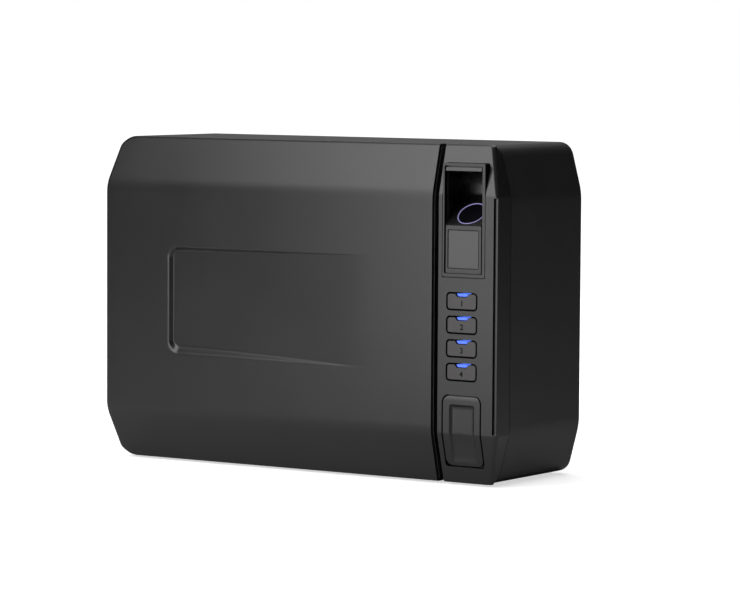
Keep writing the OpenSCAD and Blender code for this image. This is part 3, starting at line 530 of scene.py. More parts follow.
def shell(t, places, levels=(), shares=(), offsets=(), dent=None, crease_r=CREASE_R, flat_r=0,
          side_r=SIDE_R, right_r=None):
    """The closed form of the front pieces set in by t, from side to side.

    places are the columns across the front, levels the rows on its flat. shares and offsets
    add columns in and beside the right corner, and dent gives the depth of what is pressed in.
    flat_r is the radius of the upright corners along the flat, and right_r that of the
    front's corners on the right, where they differ.
    """
    arc = [math.radians(a) for a in (0, 15, 30, 45, 60, 75, 90)]
    front, sides = profile(t, FRONT_R, crease_r), profile(t, side_r, crease_r)
    rights = profile(t, right_r or side_r, crease_r)
    heights = [t]
    for z in sorted({p[1] for p in front + sides + rights}.union(levels)):
        if z - heights[-1] > ROW_GAP and HEIGHT - t - z > ROW_GAP:
            heights.append(z)
    rows = []
    for z in heights + [HEIGHT - t]:
        inset, side = inset_on(front, z), HALF_W - inset_on(sides, z)
        away = min(z - t, HEIGHT - t - z)
        r = max(CORNER_R - t, LEAST_EDGE_R) + CORNER_FLARE * (1 - smooth(0, FLARE_H, away))
        if flat_r and BAND_H + FLAT_MARGIN < z < HEIGHT - BAND_H - FLAT_MARGIN:
            r = flat_r
        r = max(min(r, SEAM_Y - LEAST_SIDE - inset), LEAST_CORNER_R)
        start = inset + r
        edge, q = HALF_W - inset_on(rights, z), min(r, CORNER_R) if right_r else r
        row = [(-side, SEAM_Y + (start - SEAM_Y) * k / SIDE_STEPS) for k in range(SIDE_STEPS)]
        row += [(-side + r - r * math.cos(a), inset + r - r * math.sin(a)) for a in arc]
        row += [(x, inset) for x in places]
        row += [(edge - q - k, inset) for k in offsets]
        if shares:
            row += [(edge - q * s, inset + q - q * math.sqrt(1 - (1 - s) ** 2)) for s in shares]
        else:
            row += [(edge - q + q * math.cos(a), inset + q - q * math.sin(a)) for a in arc[::-1]]
        row += [(side + (edge - side) * k / SIDE_STEPS,
                 SEAM_Y + (inset + q - SEAM_Y) * k / SIDE_STEPS) for k in range(SIDE_STEPS)[::-1]]
        dents = [dent(x, z) * max(1 - (y - inset) / DENT_REACH, 0) if dent else 0 for x, y in row]
        rows.append([(x, min(y, SEAM_Y) + depth, z) for (x, y), depth in zip(row, dents)])
    bm = grid(rows)
    verts, width = bm.verts[:], len(rows[0])
    bm.faces.new(verts[:width])
    bm.faces.new(verts[-width:])
    bmesh.ops.remove_doubles(bm, verts=bm.verts, dist=0.002)
    return close(bm)


def open_back(bm):
    """Moves the back of a form that hollows a shell out beyond the seam."""
    for v in bm.verts:
        if v.co.y > SEAM_Y - TOUCH:
            v.co.y += 1
    return bm


front_line = profile(0, FRONT_R, PANEL_CREASE_R)


def inset_at(z):
    """Depth of the panel's front at this height."""
    return inset_on(front_line, z)


# Door

# Slopes of the pocket's walls over their widths, as pairs of a share and a slope there
SIDE_SLOPES = ((0, 0), (0.40, 0.32), (0.47, 1.5), (0.78, 1.5), (1, 0))
TOP_SLOPES = ((0, 0), (0.15, 1.2), (0.8, 1.2), (1, 0))
FOOT_SLOPES = ((0, 0), (0.35, 1.2), (0.6, 1.2), (1, 0))


def wall_share(s, slopes):
    """Share of the pocket's depth at a share of its wall: a lip, a steeper wall and a cove."""
    total = sum((b - a) * (p + q) / 2 for (a, p), (b, q) in zip(slopes, slopes[1:]))
    done = 0
    for (a, p), (b, q) in zip(slopes, slopes[1:]):
        if s > a:
            t = min(s, b) - a
            done += t * p + t * t * (q - p) / (b - a) / 2
    return done / total


def pocket_depth(x, z):
    """Depth of the door's pressed pocket, which runs out to the right."""
    if not (POCKET_X[0] <= x <= POCKET_X[1] + POCKET_TAIL and POCKET_Z[0] < z < POCKET_Z[1]):
        return 0
    half_h = (POCKET_Z[1] - POCKET_Z[0]) / 2
    right = POCKET_X[1] + POCKET_OPEN
    qx = abs(x - (POCKET_X[0] + right) / 2) - (right - POCKET_X[0]) / 2 + POCKET_R
    qz = abs(z - middle(POCKET_Z)) - half_h + POCKET_R
    inside = POCKET_R - math.hypot(max(qx, 0), max(qz, 0)) - min(max(qx, qz), 0)
    run = max((x - POCKET_X[0]) / (POCKET_X[1] - POCKET_X[0]), 0)
    if max(qx, qz) > 0:
        upright = max(qz, 0) / math.hypot(max(qx, 0), max(qz, 0))
    else:
        upright = float(qz > qx)
    left = 1 - run ** POCKET_RUN
    if left < POCKET_LAND:
        left = max(left + POCKET_LAND, 0) ** 2 / (4 * POCKET_LAND)
    if z > middle(POCKET_Z):
        long_wall, slopes = POCKET_TOP_WALL * left + POCKET_END_WALL, TOP_SLOPES
    else:
        long_wall, slopes = POCKET_FOOT_WALL * left + POCKET_END_WALL, FOOT_SLOPES
    share = inside / (POCKET_WALL + (long_wall - POCKET_WALL) * upright)
    depth = wall_share(share, SIDE_SLOPES) * (1 - upright) + wall_share(share, slopes) * upright
    return POCKET_DEPTH * left * depth


# Columns and rows of the door's front, close together over the pocket's walls
pocket_places = (spread(-140, POCKET_X[0] - 2, 10)
                 + spread(POCKET_X[0] - 0.6, POCKET_X[0] + 10, 0.3)
                 + spread(POCKET_X[0] + 12, POCKET_X[1] + POCKET_TAIL, 3)
                 + [80, 100, 109, 120, 150])
pocket_levels = ([55] + spread(POCKET_Z[0] - 0.6, POCKET_Z[0] + 10, 0.3)
                 + spread(POCKET_Z[0] + 14, POCKET_Z[1] - 14, 5)
                 + spread(POCKET_Z[1] - 10, POCKET_Z[1] + 0.6, 0.3) + [172])
door = shell(0, pocket_places, pocket_levels, dent=pocket_depth)
door = cut(door, (DOOR_X[1], 0, 0), (1, 0, 0))
free_edge = block((DOOR_X[1] - STEP_W, DOOR_X[1] + 3), (-2, SEAM_Y + 3), (-3, HEIGHT + 3))
door = combine(door, [combine(free_edge, [shell(STEP_DEPTH, [0])])])
soften(door, 0.6, where=lambda p: abs(p.x - DOOR_X[1] + STEP_W) < TOUCH and p.y < 12
       and p.y < inset_at(p.z) + 0.3)
soften(door, 0.6, where=lambda p: p.x > DOOR_X[1] - TOUCH and p.y < SEAM_Y - TOUCH)
soften(door, 0.5, angle=60, where=lambda p: p.y > SEAM_Y - TOUCH)
PLATE_Y = ranges("door_plate")[1][0]
hollow = cut(shell(SKIN, [0]), (0, PLATE_Y, 0), (0, 1, 0))
hollow = cut(hollow, (DOOR_X[1] - SKIN, 0, 0), (1, 0, 0))
seat = cut(shell(RIM, [0], side_r=EDGE_R), (0, PLATE_Y - 0.01, 0), (0, -1, 0))
seat = open_back(cut(seat, (DOOR_X[1] - RIM, 0, 0), (1, 0, 0)))
door = combine(door, [hollow, seat])
piece("door_shell", door, SHELL, "door", ["door_cover"])

# Control panel

def groove_depth(x, z):
    """The groove, and the bead beside it that turns a little to the side."""
    if x < PANEL_X[0] or not BAND_H < z < HEIGHT - BAND_H:
        return 0
    low, high = GROOVE_END
    ends = smooth(BAND_H + low, BAND_H + high, z) * smooth(HEIGHT - BAND_H - low,
                                                           HEIGHT - BAND_H - high, z)
    away = abs(HALF_W - x - GROOVE_S)
    bead = BEAD_TURN * max(x - HALF_W + GROOVE_S - GROOVE_W / 2, 0)
    floor = 1 - smooth(GROOVE_WALL[0] * GROOVE_W, GROOVE_WALL[1] * GROOVE_W, away)
    return ends * (GROOVE_DEPTH * floor + bead)


# Columns and rows close together over the groove's walls and ends
CORNER_SHARES = [1, 0.84, 0.68, 0.54, 0.42, 0.31, 0.22, 0.14, 0.08, 0.03, 0.01, 0]
WALL_SHARES = [0.36, 0.38, 0.4, 0.42, 0.44, 0.46, 0.48, 0.5]
END_STEPS = [1.1, 1.2, 1.3, 1.4, 1.5, 1.6, 1.7, 1.8, 5]
bead_places = [HALF_W - GROOVE_S + k * GROOVE_W
               for k in [-0.9] + [-share for share in WALL_SHARES[::-1]] + [0] + WALL_SHARES]
groove_levels = ([BAND_H + k for k in END_STEPS]
                 + [HEIGHT - BAND_H - k for k in END_STEPS[::-1]])
offsets = [HALF_W - BEAD_CORNER_R - x for x in bead_places]
panel = shell(0, [-140, 0, 110], groove_levels, shares=CORNER_SHARES, offsets=offsets,
              dent=groove_depth, crease_r=PANEL_CREASE_R, flat_r=BEAD_CORNER_R, right_r=PANEL_R)
panel = cut(panel, (PANEL_X[0], 0, 0), (-1, 0, 0))
inside = open_back(cut(shell(PANEL_SKIN, [0]), (PANEL_X[0] + SKIN, 0, 0), (-1, 0, 0)))
key_ranges = [ranges(f"key_{i}") for i in (1, 2, 3, 4)]
KEY_X = (key_ranges[0][0][0] + KEY_TRIM_X[0], key_ranges[0][0][1] - KEY_TRIM_X[1])
KEY_ZS = [(z[0] + KEY_TRIM_Z[0], z[1] - KEY_TRIM_Z[1]) for _, _, z in key_ranges]


def cover_outline(gap, foot_r, steps=8):
    """The cover's outline of x and z, grown by a gap."""
    x, z = grown(COVER_X, gap), grown(COVER_Z, gap)
    return rounded([(x[0], z[0]), (x[1], z[0]), (x[1], z[1]), (x[0], z[1])],
                   [foot_r, foot_r, COVER_TOP_R + gap, COVER_TOP_R + gap], steps)


module_opening = rounded_rect(grown(MODULE_X, MODULE_GAP),
                              (MODULE_Z[0] - 0.55, MODULE_TOP + 0.2), 1)
openings = [prism(module_opening, -2, SEAM_Y + 2),
            prism(cover_outline(COVER_GAP, OPENING_FOOT_R), -2, SEAM_Y + 2)]
openings += [prism(rounded_rect(grown(KEY_X, KEY_GAP), grown(z, KEY_GAP), KEY_R + KEY_GAP),
                   -2, SEAM_Y) for z in KEY_ZS]
panel = combine(panel, [inside] + openings)


def in_front(p):
    """Whether a place lies on the panel's front, or no deeper than its small radii."""
    return p.y < inset_at(p.z) + 0.2


def among_openings(p):
    return PANEL_X[0] + 1 < p.x < HALF_W - 5


soften(panel, 0.4, angle=50, where=lambda p: in_front(p) and p.z < COVER_Z[0]
       and COVER_X[0] < p.x < COVER_X[1])
soften(panel, 0.15, steps=2, angle=50, where=lambda p: in_front(p) and p.z > COVER_Z[0]
       and among_openings(p))
soften(panel, 0.5, angle=50, where=lambda p: p.x < PANEL_X[0] + TOUCH and p.y < SEAM_Y - 0.5
       and (in_front(p) or p.z > HEIGHT - 0.1))
# The walls of the openings among the keys, the module and the cover get the near-black finish:
# painted shade in the gaps round them
for face in panel.faces:
    p = face.calc_center_median()
    face.material_index = int(is_wall(face) and among_openings(p) and not in_front(p)
                              and COVER_Z[0] - 2 < p.z < MODULE_TOP + 1)
panel_piece = piece("control_panel", panel, SHELL, "root", ["control_bezel"])
panel_piece.data.materials.append(PAINTED_GAP_SHADE)

# Steel case

def case_outline(t, edge_r, crease_r, steps=10):
    """The case's outline of x and z set in by t."""
    x, low, side = HALF_W - band_inset(t), BAND_H + crease_shift(t), HALF_W - t
    edge, crease = edge_r - t, crease_r - t
    return rounded([(-x, t), (x, t), (side, low), (side, HEIGHT - low), (x, HEIGHT - t),
                    (-x, HEIGHT - t), (-side, HEIGHT - low), (-side, low)],
                   [edge, edge, crease, crease, edge, edge, crease, crease], steps)


HINGE_CHANNEL_W = 7
HINGE_CHANNEL_Y = 22.2
HOLE_R = 3.5
HOLE_MIDDLE = (-28.4, HEIGHT / 2)  # of the four mounting holes in the back
HOLE_REACH = (90, 55)
case = prism(case_outline(0, SIDE_R, CREASE_R), CASE_Y[0], CASE_Y[1])
soften(case, 1.2, steps=4, angle=60, where=lambda p: p.y > CASE_Y[1] - TOUCH)
holes = [rod("y", HOLE_R, CASE_Y[1] - 6, CASE_Y[1] + 1, HOLE_MIDDLE[0] + a * HOLE_REACH[0],
             HOLE_MIDDLE[1] + b * HOLE_REACH[1]) for a in (-1, 1) for b in (-1, 1)]
chamber = prism(case_outline(WALL, EDGE_R, CREASE_R), CASE_Y[0] - 1, CASE_Y[1] - WALL)
channel = block((-HALF_W - 1, -HALF_W + HINGE_CHANNEL_W), (CASE_Y[0] - 1, HINGE_CHANNEL_Y),
                (-1, HEIGHT + 1))
case = combine(case, [chamber, channel] + holes)
soften(case, 0.35, steps=2, angle=60, where=lambda p: p.y < CASE_Y[0] + TOUCH)
piece("case_shell", case, CASE, "root", ["rear_case"])

# Scanner module

def turned(line, steps=64, ring=False):
    """A closed form turned round the z axis from a line of radius and height.

    The line starts and ends on the axis, or for a ring it closes on itself.
    """
    rows = []
    for i in range(steps + 1):
        a = 2 * math.pi * i / steps
        rows.append([(r * math.cos(a), r * math.sin(a), z) for r, z in line])
    bm = grid(rows if not ring else [row + row[:1] for row in rows])
    bmesh.ops.remove_doubles(bm, verts=bm.verts, dist=0.001)
    return outward(bm)


PAD_T = 1.2
SENSOR = [middle(pair) for pair in ranges("finger_sensor")]
REST_UP = Vector((0, -math.sin(REST_TILT), math.cos(REST_TILT)))
REST_ALONG = Vector((0, math.cos(REST_TILT), math.sin(REST_TILT)))
PAD_PLACE = Vector(SENSOR) + REST_UP * PAD_T / 2


def on_rest(bm):
    """Stands a form on the finger rest, its origin at the middle of the pad."""
    for v in bm.verts:
        v.co = PAD_PLACE + Vector((1, 0, 0)) * v.co.x + REST_ALONG * v.co.y + REST_UP * v.co.z
    return bm


PAD_R = 9.65
RING_R = (9.75, 10.3)
RIM_X = (122.4, 152.4)  # outside of the moat round the insert
RIM_Z = (142.45, MODULE_TOP - 1.8)
MOAT_DEPTH = 3.2
INSERT_X = (123.35, 151.5)  # insert with the finger opening and the display
INSERT_TOP = MODULE_TOP - 2.75
CAVITY_BACK = MODULE_DEPTH - 4.5
CAVITY_FOOT_R = 5
CAVITY_TOP_R = 11
FLANGE_Y = (3.05, 4.5)
FLANGE_TOP = 188
rise = math.tan(REST_TILT)
cavity_x = (INSERT_X[0], RIM_X[1])
_, DISPLAY_Y, DISPLAY_Z = ranges("display_frame")
_, WINDOW_Y, _ = ranges("display_window")
WINDOW_X = (125.1, 149.4)
WINDOW_Z = (145.8, 171.8)

housing = prism(rounded_rect(MODULE_X, (MODULE_Z[0], MODULE_TOP), 0.9), 0, MODULE_DEPTH)
cavity_line = [(-2, FINGER_Z[0] - 2 * rise), (CAVITY_BACK, FINGER_Z[0] + CAVITY_BACK * rise),
               (CAVITY_BACK, FINGER_Z[1]), (-2, FINGER_Z[1])]
cavity = side_prism(rounded(cavity_line, [0, CAVITY_FOOT_R, CAVITY_TOP_R, 0], 12), *cavity_x)
seat_r = RING_R[1] + 0.1
pad_seat = on_rest(turned([(0, -PAD_T), (seat_r, -PAD_T), (seat_r, 2), (0, 2)]))
display_seat = block(cavity_x, (-2, 7), (DISPLAY_Z[0] - 0.2, DISPLAY_Z[1] + 0.2))
moat = combine(prism(rounded_rect(RIM_X, RIM_Z, 0.8), -2, MOAT_DEPTH),
               [prism(rounded_rect(INSERT_X, (100, INSERT_TOP), 0.5), -4, MOAT_DEPTH + 2)])
housing = combine(housing, [moat, cavity, pad_seat, display_seat])
flange = prism(rounded_rect(grown(MODULE_X, FLANGE_W), (MODULE_Z[0] - FLANGE_LOW, FLANGE_TOP), 1),
               *FLANGE_Y)
flange = combine(flange, [block(grown(MODULE_X, -1), (0, 9), (MODULE_Z[0] + 1, FLANGE_TOP + 2))])
soften(housing, 0.22, angle=50, where=lambda p: p.y < 0.2)
soften(housing, 0.5, angle=50, where=lambda p: 0.2 < p.y < 24 and abs(p.z - FINGER_Z[1]) < 0.1
       and cavity_x[0] + 0.5 < p.x < cavity_x[1] - 0.5)
housing = combine(housing, [flange], "UNION")
for v in housing.verts:
    x, y, z = v.co
    if y < 0.3 and INSERT_X[0] - 0.1 < x < INSERT_X[1] + 0.1 and FINGER_Z[1] < z < INSERT_TOP + 0.1:
        v.co.y += BROW_LEAN * (z - FINGER_Z[1])
# Faces inside the finger cavity get the darker finish, and the walls of the moat and of the gap
# round the module the near-black one: painted shade in both
for face in housing.faces:
    x, y, z = face.calc_center_median()
    in_cavity = (INSERT_X[0] - 0.1 < x < RIM_X[1] + 0.1 and 0.9 < y < CAVITY_BACK + 0.1
                 and DISPLAY_Z[1] < z < FINGER_Z[1] + 0.1)
    gets_painted_shade = y > 0.4 and (is_wall(face) or z > INSERT_TOP or y < 4 and x < INSERT_X[0])
    face.material_index = 1 if in_cavity else 2 * int(gets_painted_shade)
module_piece = piece("scanner_module", housing, MODULE, "root",
                     ["scanner_housing"])
module_piece.data.materials.append(PAINTED_CAVITY_SHADE)
module_piece.data.materials.append(PAINTED_GAP_SHADE)

# The pad's glass is a little domed, and its edge rounded
pad = turned([(0, -PAD_T), (PAD_R, -PAD_T), (PAD_R, -0.25), (PAD_R - 0.1, -0.1),
              (PAD_R - 0.3, -0.03), (6, 0.02), (3, 0.05), (0, 0.06)])
piece("finger_pad", on_rest(pad), GLASS, "root", ["finger_sensor"])
ring_top = 0.22
ring_line = [tuple(p) for p in rounded([(RING_R[0], -PAD_T), (RING_R[1], -PAD_T),
                                        (RING_R[1], ring_top), (RING_R[0], ring_top)],
                                       [0, 0, 0.3, 0.3], 4)]
piece("finger_ring", on_rest(turned(ring_line, 96, ring=True)), RING, "root",
      ["sensor_ring"])

screen_frame = prism(rounded_rect(INSERT_X, DISPLAY_Z, 0.9), DISPLAY_Y[0], DISPLAY_Y[1])
window_hole = rounded_rect(grown(WINDOW_X, 0.05), grown(WINDOW_Z, 0.05), 0.7)
screen_frame = combine(screen_frame, [prism(window_hole, -2, 9)])
soften(screen_frame, 0.45, angle=50, where=lambda p: p.y < DISPLAY_Y[0] + 0.1)
piece("screen_frame", screen_frame, MODULE, "root", ["display_frame"])
window = prism(rounded_rect(grown(WINDOW_X, -0.3), grown(WINDOW_Z, -0.3), 0.5),
               DISPLAY_Y[0] + 0.35, WINDOW_Y[1])
soften(window, 0.2, angle=50, where=lambda p: p.y < DISPLAY_Y[0] + 0.5)
piece("screen_window", window, SCREEN, "root", ["display_window"])

# Keys

def light_outline(z, gap, over=0):
    """The wedge of a key's light, wider at its top."""
    mid, wide, high = middle(KEY_X), LIGHT_W / 2 + gap, z[1] + LIGHT_RISE
    low = high - LIGHT_H - gap
    return [(mid - wide + LIGHT_TAPER, low), (mid + wide - LIGHT_TAPER, low),
            (mid + wide + over, high + over), (mid - wide - over, high + over)]


lamps = bmesh.new()
for number, z in enumerate(KEY_ZS, 1):
    solid_x, solid_y, solid_z = key_ranges[number - 1]
    cap = prism(rounded_rect(KEY_X, z, KEY_R, 8), KEY_SINK, KEY_BACK + 0.2)
    skirt = prism(rounded_rect(solid_x, solid_z, KEY_R), KEY_BACK, KEY_BACK + KEY_SKIRT_T)
    cap = combine(cap, [skirt], "UNION")
    notch = prism(rounded(light_outline(z, LIGHT_GAP, 2), [LIGHT_R, LIGHT_R, 0, 0], 4), -1, 9)
    cap = combine(cap, [notch])
    soften(cap, 0.2, angle=50, where=lambda p: p.y < 0.2)
    stem = rod("y", STEM_R, KEY_BACK + 0.5, solid_y[1], middle(KEY_X), middle(z) - STEM_DROP, 24)
    cap = combine(cap, [stem], "UNION")
    # The sides and back of each cap get the near-black finish: painted shade in the gap round the
    # key
    for face in cap.faces:
        face.material_index = int(face.calc_center_median().y > KEY_SINK + 0.35)
    name = f"key_{number}"
    key_piece = piece(f"{name}_cap", cap, KEY_CAP, name, [name])
    key_piece.data.materials.append(PAINTED_GAP_SHADE)
    lamp = prism(rounded(light_outline(z, 0), [LIGHT_R, LIGHT_R, LIGHT_TOP_R, LIGHT_TOP_R], 4),
                 LIGHT_SINK, ranges("key_lights")[1][1])
    soften(lamp, 0.2, steps=2, angle=50, where=lambda p: p.y < LIGHT_SINK + 0.1)
    mesh = bpy.data.meshes.new("lamp")
    lamp.to_mesh(mesh)
    lamp.free()
    lamps.from_mesh(mesh)
    bpy.data.meshes.remove(mesh)
piece("key_lamps", lamps, LIGHT, "root", ["key_lights"])

NUMERAL_H = 3.7
CAP_SHARE = 0.7  # height of a numeral over the size of its font
NUMERAL_DROP = 1.5  # from the middle of the cap
NUMERAL_RELIEF = 0.04
NUMERAL_BOLD = 0.13  # what is added round its strokes
SLIVER_AREA = 1e-5
for number, z in enumerate(KEY_ZS, 1):
    text = bpy.data.curves.new("numeral", "FONT")
    text.body = str(number)
    text.align_x, text.align_y = "CENTER", "CENTER"
    text.size = NUMERAL_H / CAP_SHARE
    text.extrude = NUMERAL_RELIEF
    text.offset = NUMERAL_BOLD
    holder = bpy.data.objects.new("numeral", text)
    bpy.context.scene.collection.objects.link(holder)
    depsgraph = bpy.context.evaluated_depsgraph_get()
    flat = bpy.data.meshes.new_from_object(holder.evaluated_get(depsgraph))
    bm = bmesh.new()
    bm.from_mesh(flat)
    bpy.data.objects.remove(holder)
    bpy.data.meshes.remove(flat)
    for v in bm.verts:
        x, y, up = v.co
        v.co = (middle(KEY_X) + x, KEY_SINK - up, middle(z) - NUMERAL_DROP + y)
    bmesh.ops.remove_doubles(bm, verts=bm.verts, dist=TOUCH)
    slivers = [face for face in bm.faces if face.calc_area() < SLIVER_AREA]
    longest = [max(face.edges, key=lambda e: e.calc_length()) for face in slivers]
    bmesh.ops.dissolve_edges(bm, edges=longest, use_verts=False)
    piece(f"numeral_{number}", bm, INK, f"key_{number}")

# Lock cover

RECESS_X = (127.0, 147.3)
RECESS_Z = (14.5, 54.3)
RECESS_R = 1.8
RECESS_WALL = 2.2
RECESS_DEPTH = 1.95
RECESS_FADE = (-0.3, 0.8)  # shares of the way from its foot to the crease
CROWN_H = 2.8
CROWN_FALL = 0.55
KNUCKLE_R = 1.7
KNUCKLE_TRIM = 0.4
PIN_HOLE_R = 0.85
HINGE_ARM = 3  # from the hinge's axis to the cover
HINGE_ARM_T = 2.4


def recess_depth(x, z):
    """Depth of the cover's finger recess, which runs out towards its foot."""
    qx = abs(x - middle(RECESS_X)) - (RECESS_X[1] - RECESS_X[0]) / 2 + RECESS_R
    qz = abs(z - middle(RECESS_Z)) - (RECESS_Z[1] - RECESS_Z[0]) / 2 + RECESS_R
    inside = RECESS_R - math.hypot(max(qx, 0), max(qz, 0)) - min(max(qx, qz), 0)
    run = max((z - RECESS_Z[0]) / (BAND_H - RECESS_Z[0]), 0)
    return RECESS_DEPTH * smooth(*RECESS_FADE, run) * smooth(0, RECESS_WALL, inside)


def cover_fall(z):
    """How far the cover's front lies back towards its top edge."""
    return CROWN_FALL * max(1 - (COVER_Z[1] - z) / CROWN_H, 0) ** 2


# Columns and rows of the cover's front, close together over the recess's walls and the crown
recess_places = ([COVER_X[0] - 1] + spread(RECESS_X[0] - 0.3, RECESS_X[0] + 1.5, 0.15)
                 + spread(RECESS_X[0] + 2.2, RECESS_X[1] - 2.2, 1.5)
                 + spread(RECESS_X[1] - 1.5, RECESS_X[1] + 0.3, 0.15) + [COVER_X[1] + 1])
recess_levels = sorted([COVER_Z[0] - 1] + [p[1] for p in front_line if COVER_Z[0] < p[1] < 40]
                       + spread(RECESS_Z[0], 31, 1.5) + spread(37.5, RECESS_Z[1] - 2.2, 1.5)
                       + spread(RECESS_Z[1] - 1.5, RECESS_Z[1] + 0.3, 0.15)
                       + spread(COVER_Z[1] - CROWN_H, COVER_Z[1] + 1, 0.3))
outer = grid([[(x, inset_at(z) + recess_depth(x, z) + cover_fall(z), z) for x in recess_places]
              for z in recess_levels])
sides = bmesh.ops.extrude_face_region(outer, geom=outer.faces[:])
for v in sides["geom"]:
    if isinstance(v, bmesh.types.BMVert):
        v.co.y = inset_at(v.co.z) + COVER_T
flap = prism(cover_outline(0, COVER_FOOT_R), -2, COVER_Y[1] + 2)
cover = combine(outward(outer), [flap], "INTERSECT")
soften(cover, 0.6, steps=4, angle=50,
       where=lambda p: p.y < inset_at(p.z) + cover_fall(p.z) + 0.2)
hinge = next(joint for joint in frame["joints"] if joint["name"] == "lock_cover_hinge")["pos_m"]
hinge_y, hinge_z = (hinge[1] - FRONT_Y) / MM, (hinge[2] - BASE_Z) / MM
knuckle_x = grown(COVER_X, -KNUCKLE_TRIM)
knuckle = rod("x", KNUCKLE_R, *knuckle_x, hinge_y, hinge_z, 32)
arm = block(knuckle_x, (hinge_y - HINGE_ARM, hinge_y),
            (hinge_z - HINGE_ARM_T / 2, hinge_z + HINGE_ARM_T / 2))
cover = combine(cover, [knuckle, arm], "UNION")
pin_hole = rod("x", PIN_HOLE_R, COVER_X[0] - 2, COVER_X[1] + 2, hinge_y, hinge_z, 24)
cover = combine(cover, [pin_hole])
# The cover's side walls, outside its recess, get the near-black finish: painted shade in the gap
# round it
for face in cover.faces:
    p = face.calc_center_median()
    in_recess = (RECESS_X[0] - 0.5 < p.x < RECESS_X[1] + 0.5
                 and RECESS_Z[0] < p.z < RECESS_Z[1] + 0.5)
    face.material_index = int(is_wall(face) and p.y > inset_at(p.z) + 0.6 and not in_recess)
cover_piece = piece("cover_flap", cover, SHELL, "lock_cover", ["lock_cover"])
cover_piece.data.materials.append(PAINTED_GAP_SHADE)

# Foam on the door, foam mat and seal

EDGE_SHARE = 0.45  # share of its thickness that a pad has at its edge
EDGE_W = 3  # width over which it swells to the whole
CRATE_PITCH = 18
CRATE_DEPTH = 0.22  # shares of the thickness
MAT_DEPTH = 0.04
MAT_WAVES = (7.3, 5.1)
SEAL_W = 5
SEAL_R = 11


def cushion(x, z, r, thickness, step, height):
    """A closed pad, rounded at its edges; height gives the share of the thickness at a place."""
    mid_x, mid_z, half_x, half_z = middle(x), middle(z), (x[1] - x[0]) / 2, (z[1] - z[0]) / 2
    xs, zs = spread(x[0], x[1], step), spread(z[0], z[1], step)
    bm = grid([[(a, 0, c) for a in xs] for c in zs])
    front = []
    for v in bm.verts:
        qx, qz = abs(v.co.x - mid_x) - half_x + r, abs(v.co.z - mid_z) - half_z + r
        if qx > 0 and qz > 0 and math.hypot(qx, qz) > r:
            pull = r / math.hypot(qx, qz)
            v.co.x = mid_x + math.copysign(half_x - r + qx * pull, v.co.x - mid_x)
            v.co.z = mid_z + math.copysign(half_z - r + qz * pull, v.co.z - mid_z)
            qx, qz = qx * pull, qz * pull
        front.append((v, r - math.hypot(max(qx, 0), max(qz, 0)) - min(max(qx, qz), 0)))
    back = bmesh.ops.extrude_face_region(bm, geom=bm.faces[:])["geom"]
    for v, inside in front:
        t = min(max(inside / EDGE_W, 0), 1)
        swell = EDGE_SHARE + (1 - EDGE_SHARE) * math.sqrt(1 - (1 - t) ** 2)
        v.co.y = thickness * swell * height(v.co.x, v.co.z, t)
    for v in back:
        if isinstance(v, bmesh.types.BMVert):
            v.co.y = 0
    return outward(bm)


def egg_crate(x, z, t):
    """Rounded bumps and hollows in a square field, fading at the edge."""
    wave = math.cos(2 * math.pi * x / CRATE_PITCH) * math.cos(2 * math.pi * z / CRATE_PITCH)
    return 1 - CRATE_DEPTH * t * (1 - wave)


def felt_waves(x, z, t):
    """Slight unevenness of a mat that lies loose."""
    return 1 - MAT_DEPTH * t * (1 + math.sin(x / MAT_WAVES[0]) * math.cos(z / MAT_WAVES[1]))


pad_x, pad_y, pad_z = ranges("door_pad")
door_pad = cushion(pad_x, pad_z, 8, pad_y[1] - pad_y[0], 2.2, egg_crate)
for v in door_pad.verts:
    v.co.y += pad_y[0]
pad_piece = piece("door_foam", door_pad, FOAM, "door", ["door_pad"], angle=60)

mat_x, mat_y, mat_z = ranges("floor_mat")
floor_mat = cushion(mat_x, mat_y, 6, mat_z[1] - mat_z[0], 2.5, felt_waves)
for v in floor_mat.verts:
    v.co = Vector((v.co.x, v.co.z, mat_z[0] + v.co.y))
mat_piece = piece("floor_foam", outward(floor_mat), FELT, "root", ["floor_mat"], angle=60)

seal_x, seal_y, seal_z = ranges("door_seal")
seal = prism(rounded_rect(seal_x, seal_z, SEAL_R, 10), *seal_y)
seal_hole = rounded_rect(grown(seal_x, -SEAL_W), grown(seal_z, -SEAL_W), SEAL_R - SEAL_W, 10)
seal = combine(seal, [prism(seal_hole, seal_y[0] - 1, seal_y[1] + 1)])
soften(seal, 0.8, steps=4, angle=60, where=lambda p: p.y < seal_y[0] + 0.1)
seal_piece = piece("seal_foam", seal, FOAM, "root", ["door_seal"])

# Floor, light and camera, in metres

FLOOR_SIZE = 7
FLOOR_WHITE = (0.82, 0.82, 0.82, 1)
GLOW_REACH, GLOW = (0.2, 0.9), (0.62, 1.1)  # distances from the object, and the floor's glow there
SHADE_Y, SHADE = (-0.1, 0.3), (0.7, 0.37)  # places along y, and the grey that lights the object
ROOM_LIGHT = 0.03
CAMERA_TURN = (33.589, 4.1267, 0.3463)  # azimuth, elevation and roll in degrees
CAMERA_PLACE = (1.4322, -2.1169, 0.3034)
LENS_MM = 177.0
SENSOR_MM = 36.0


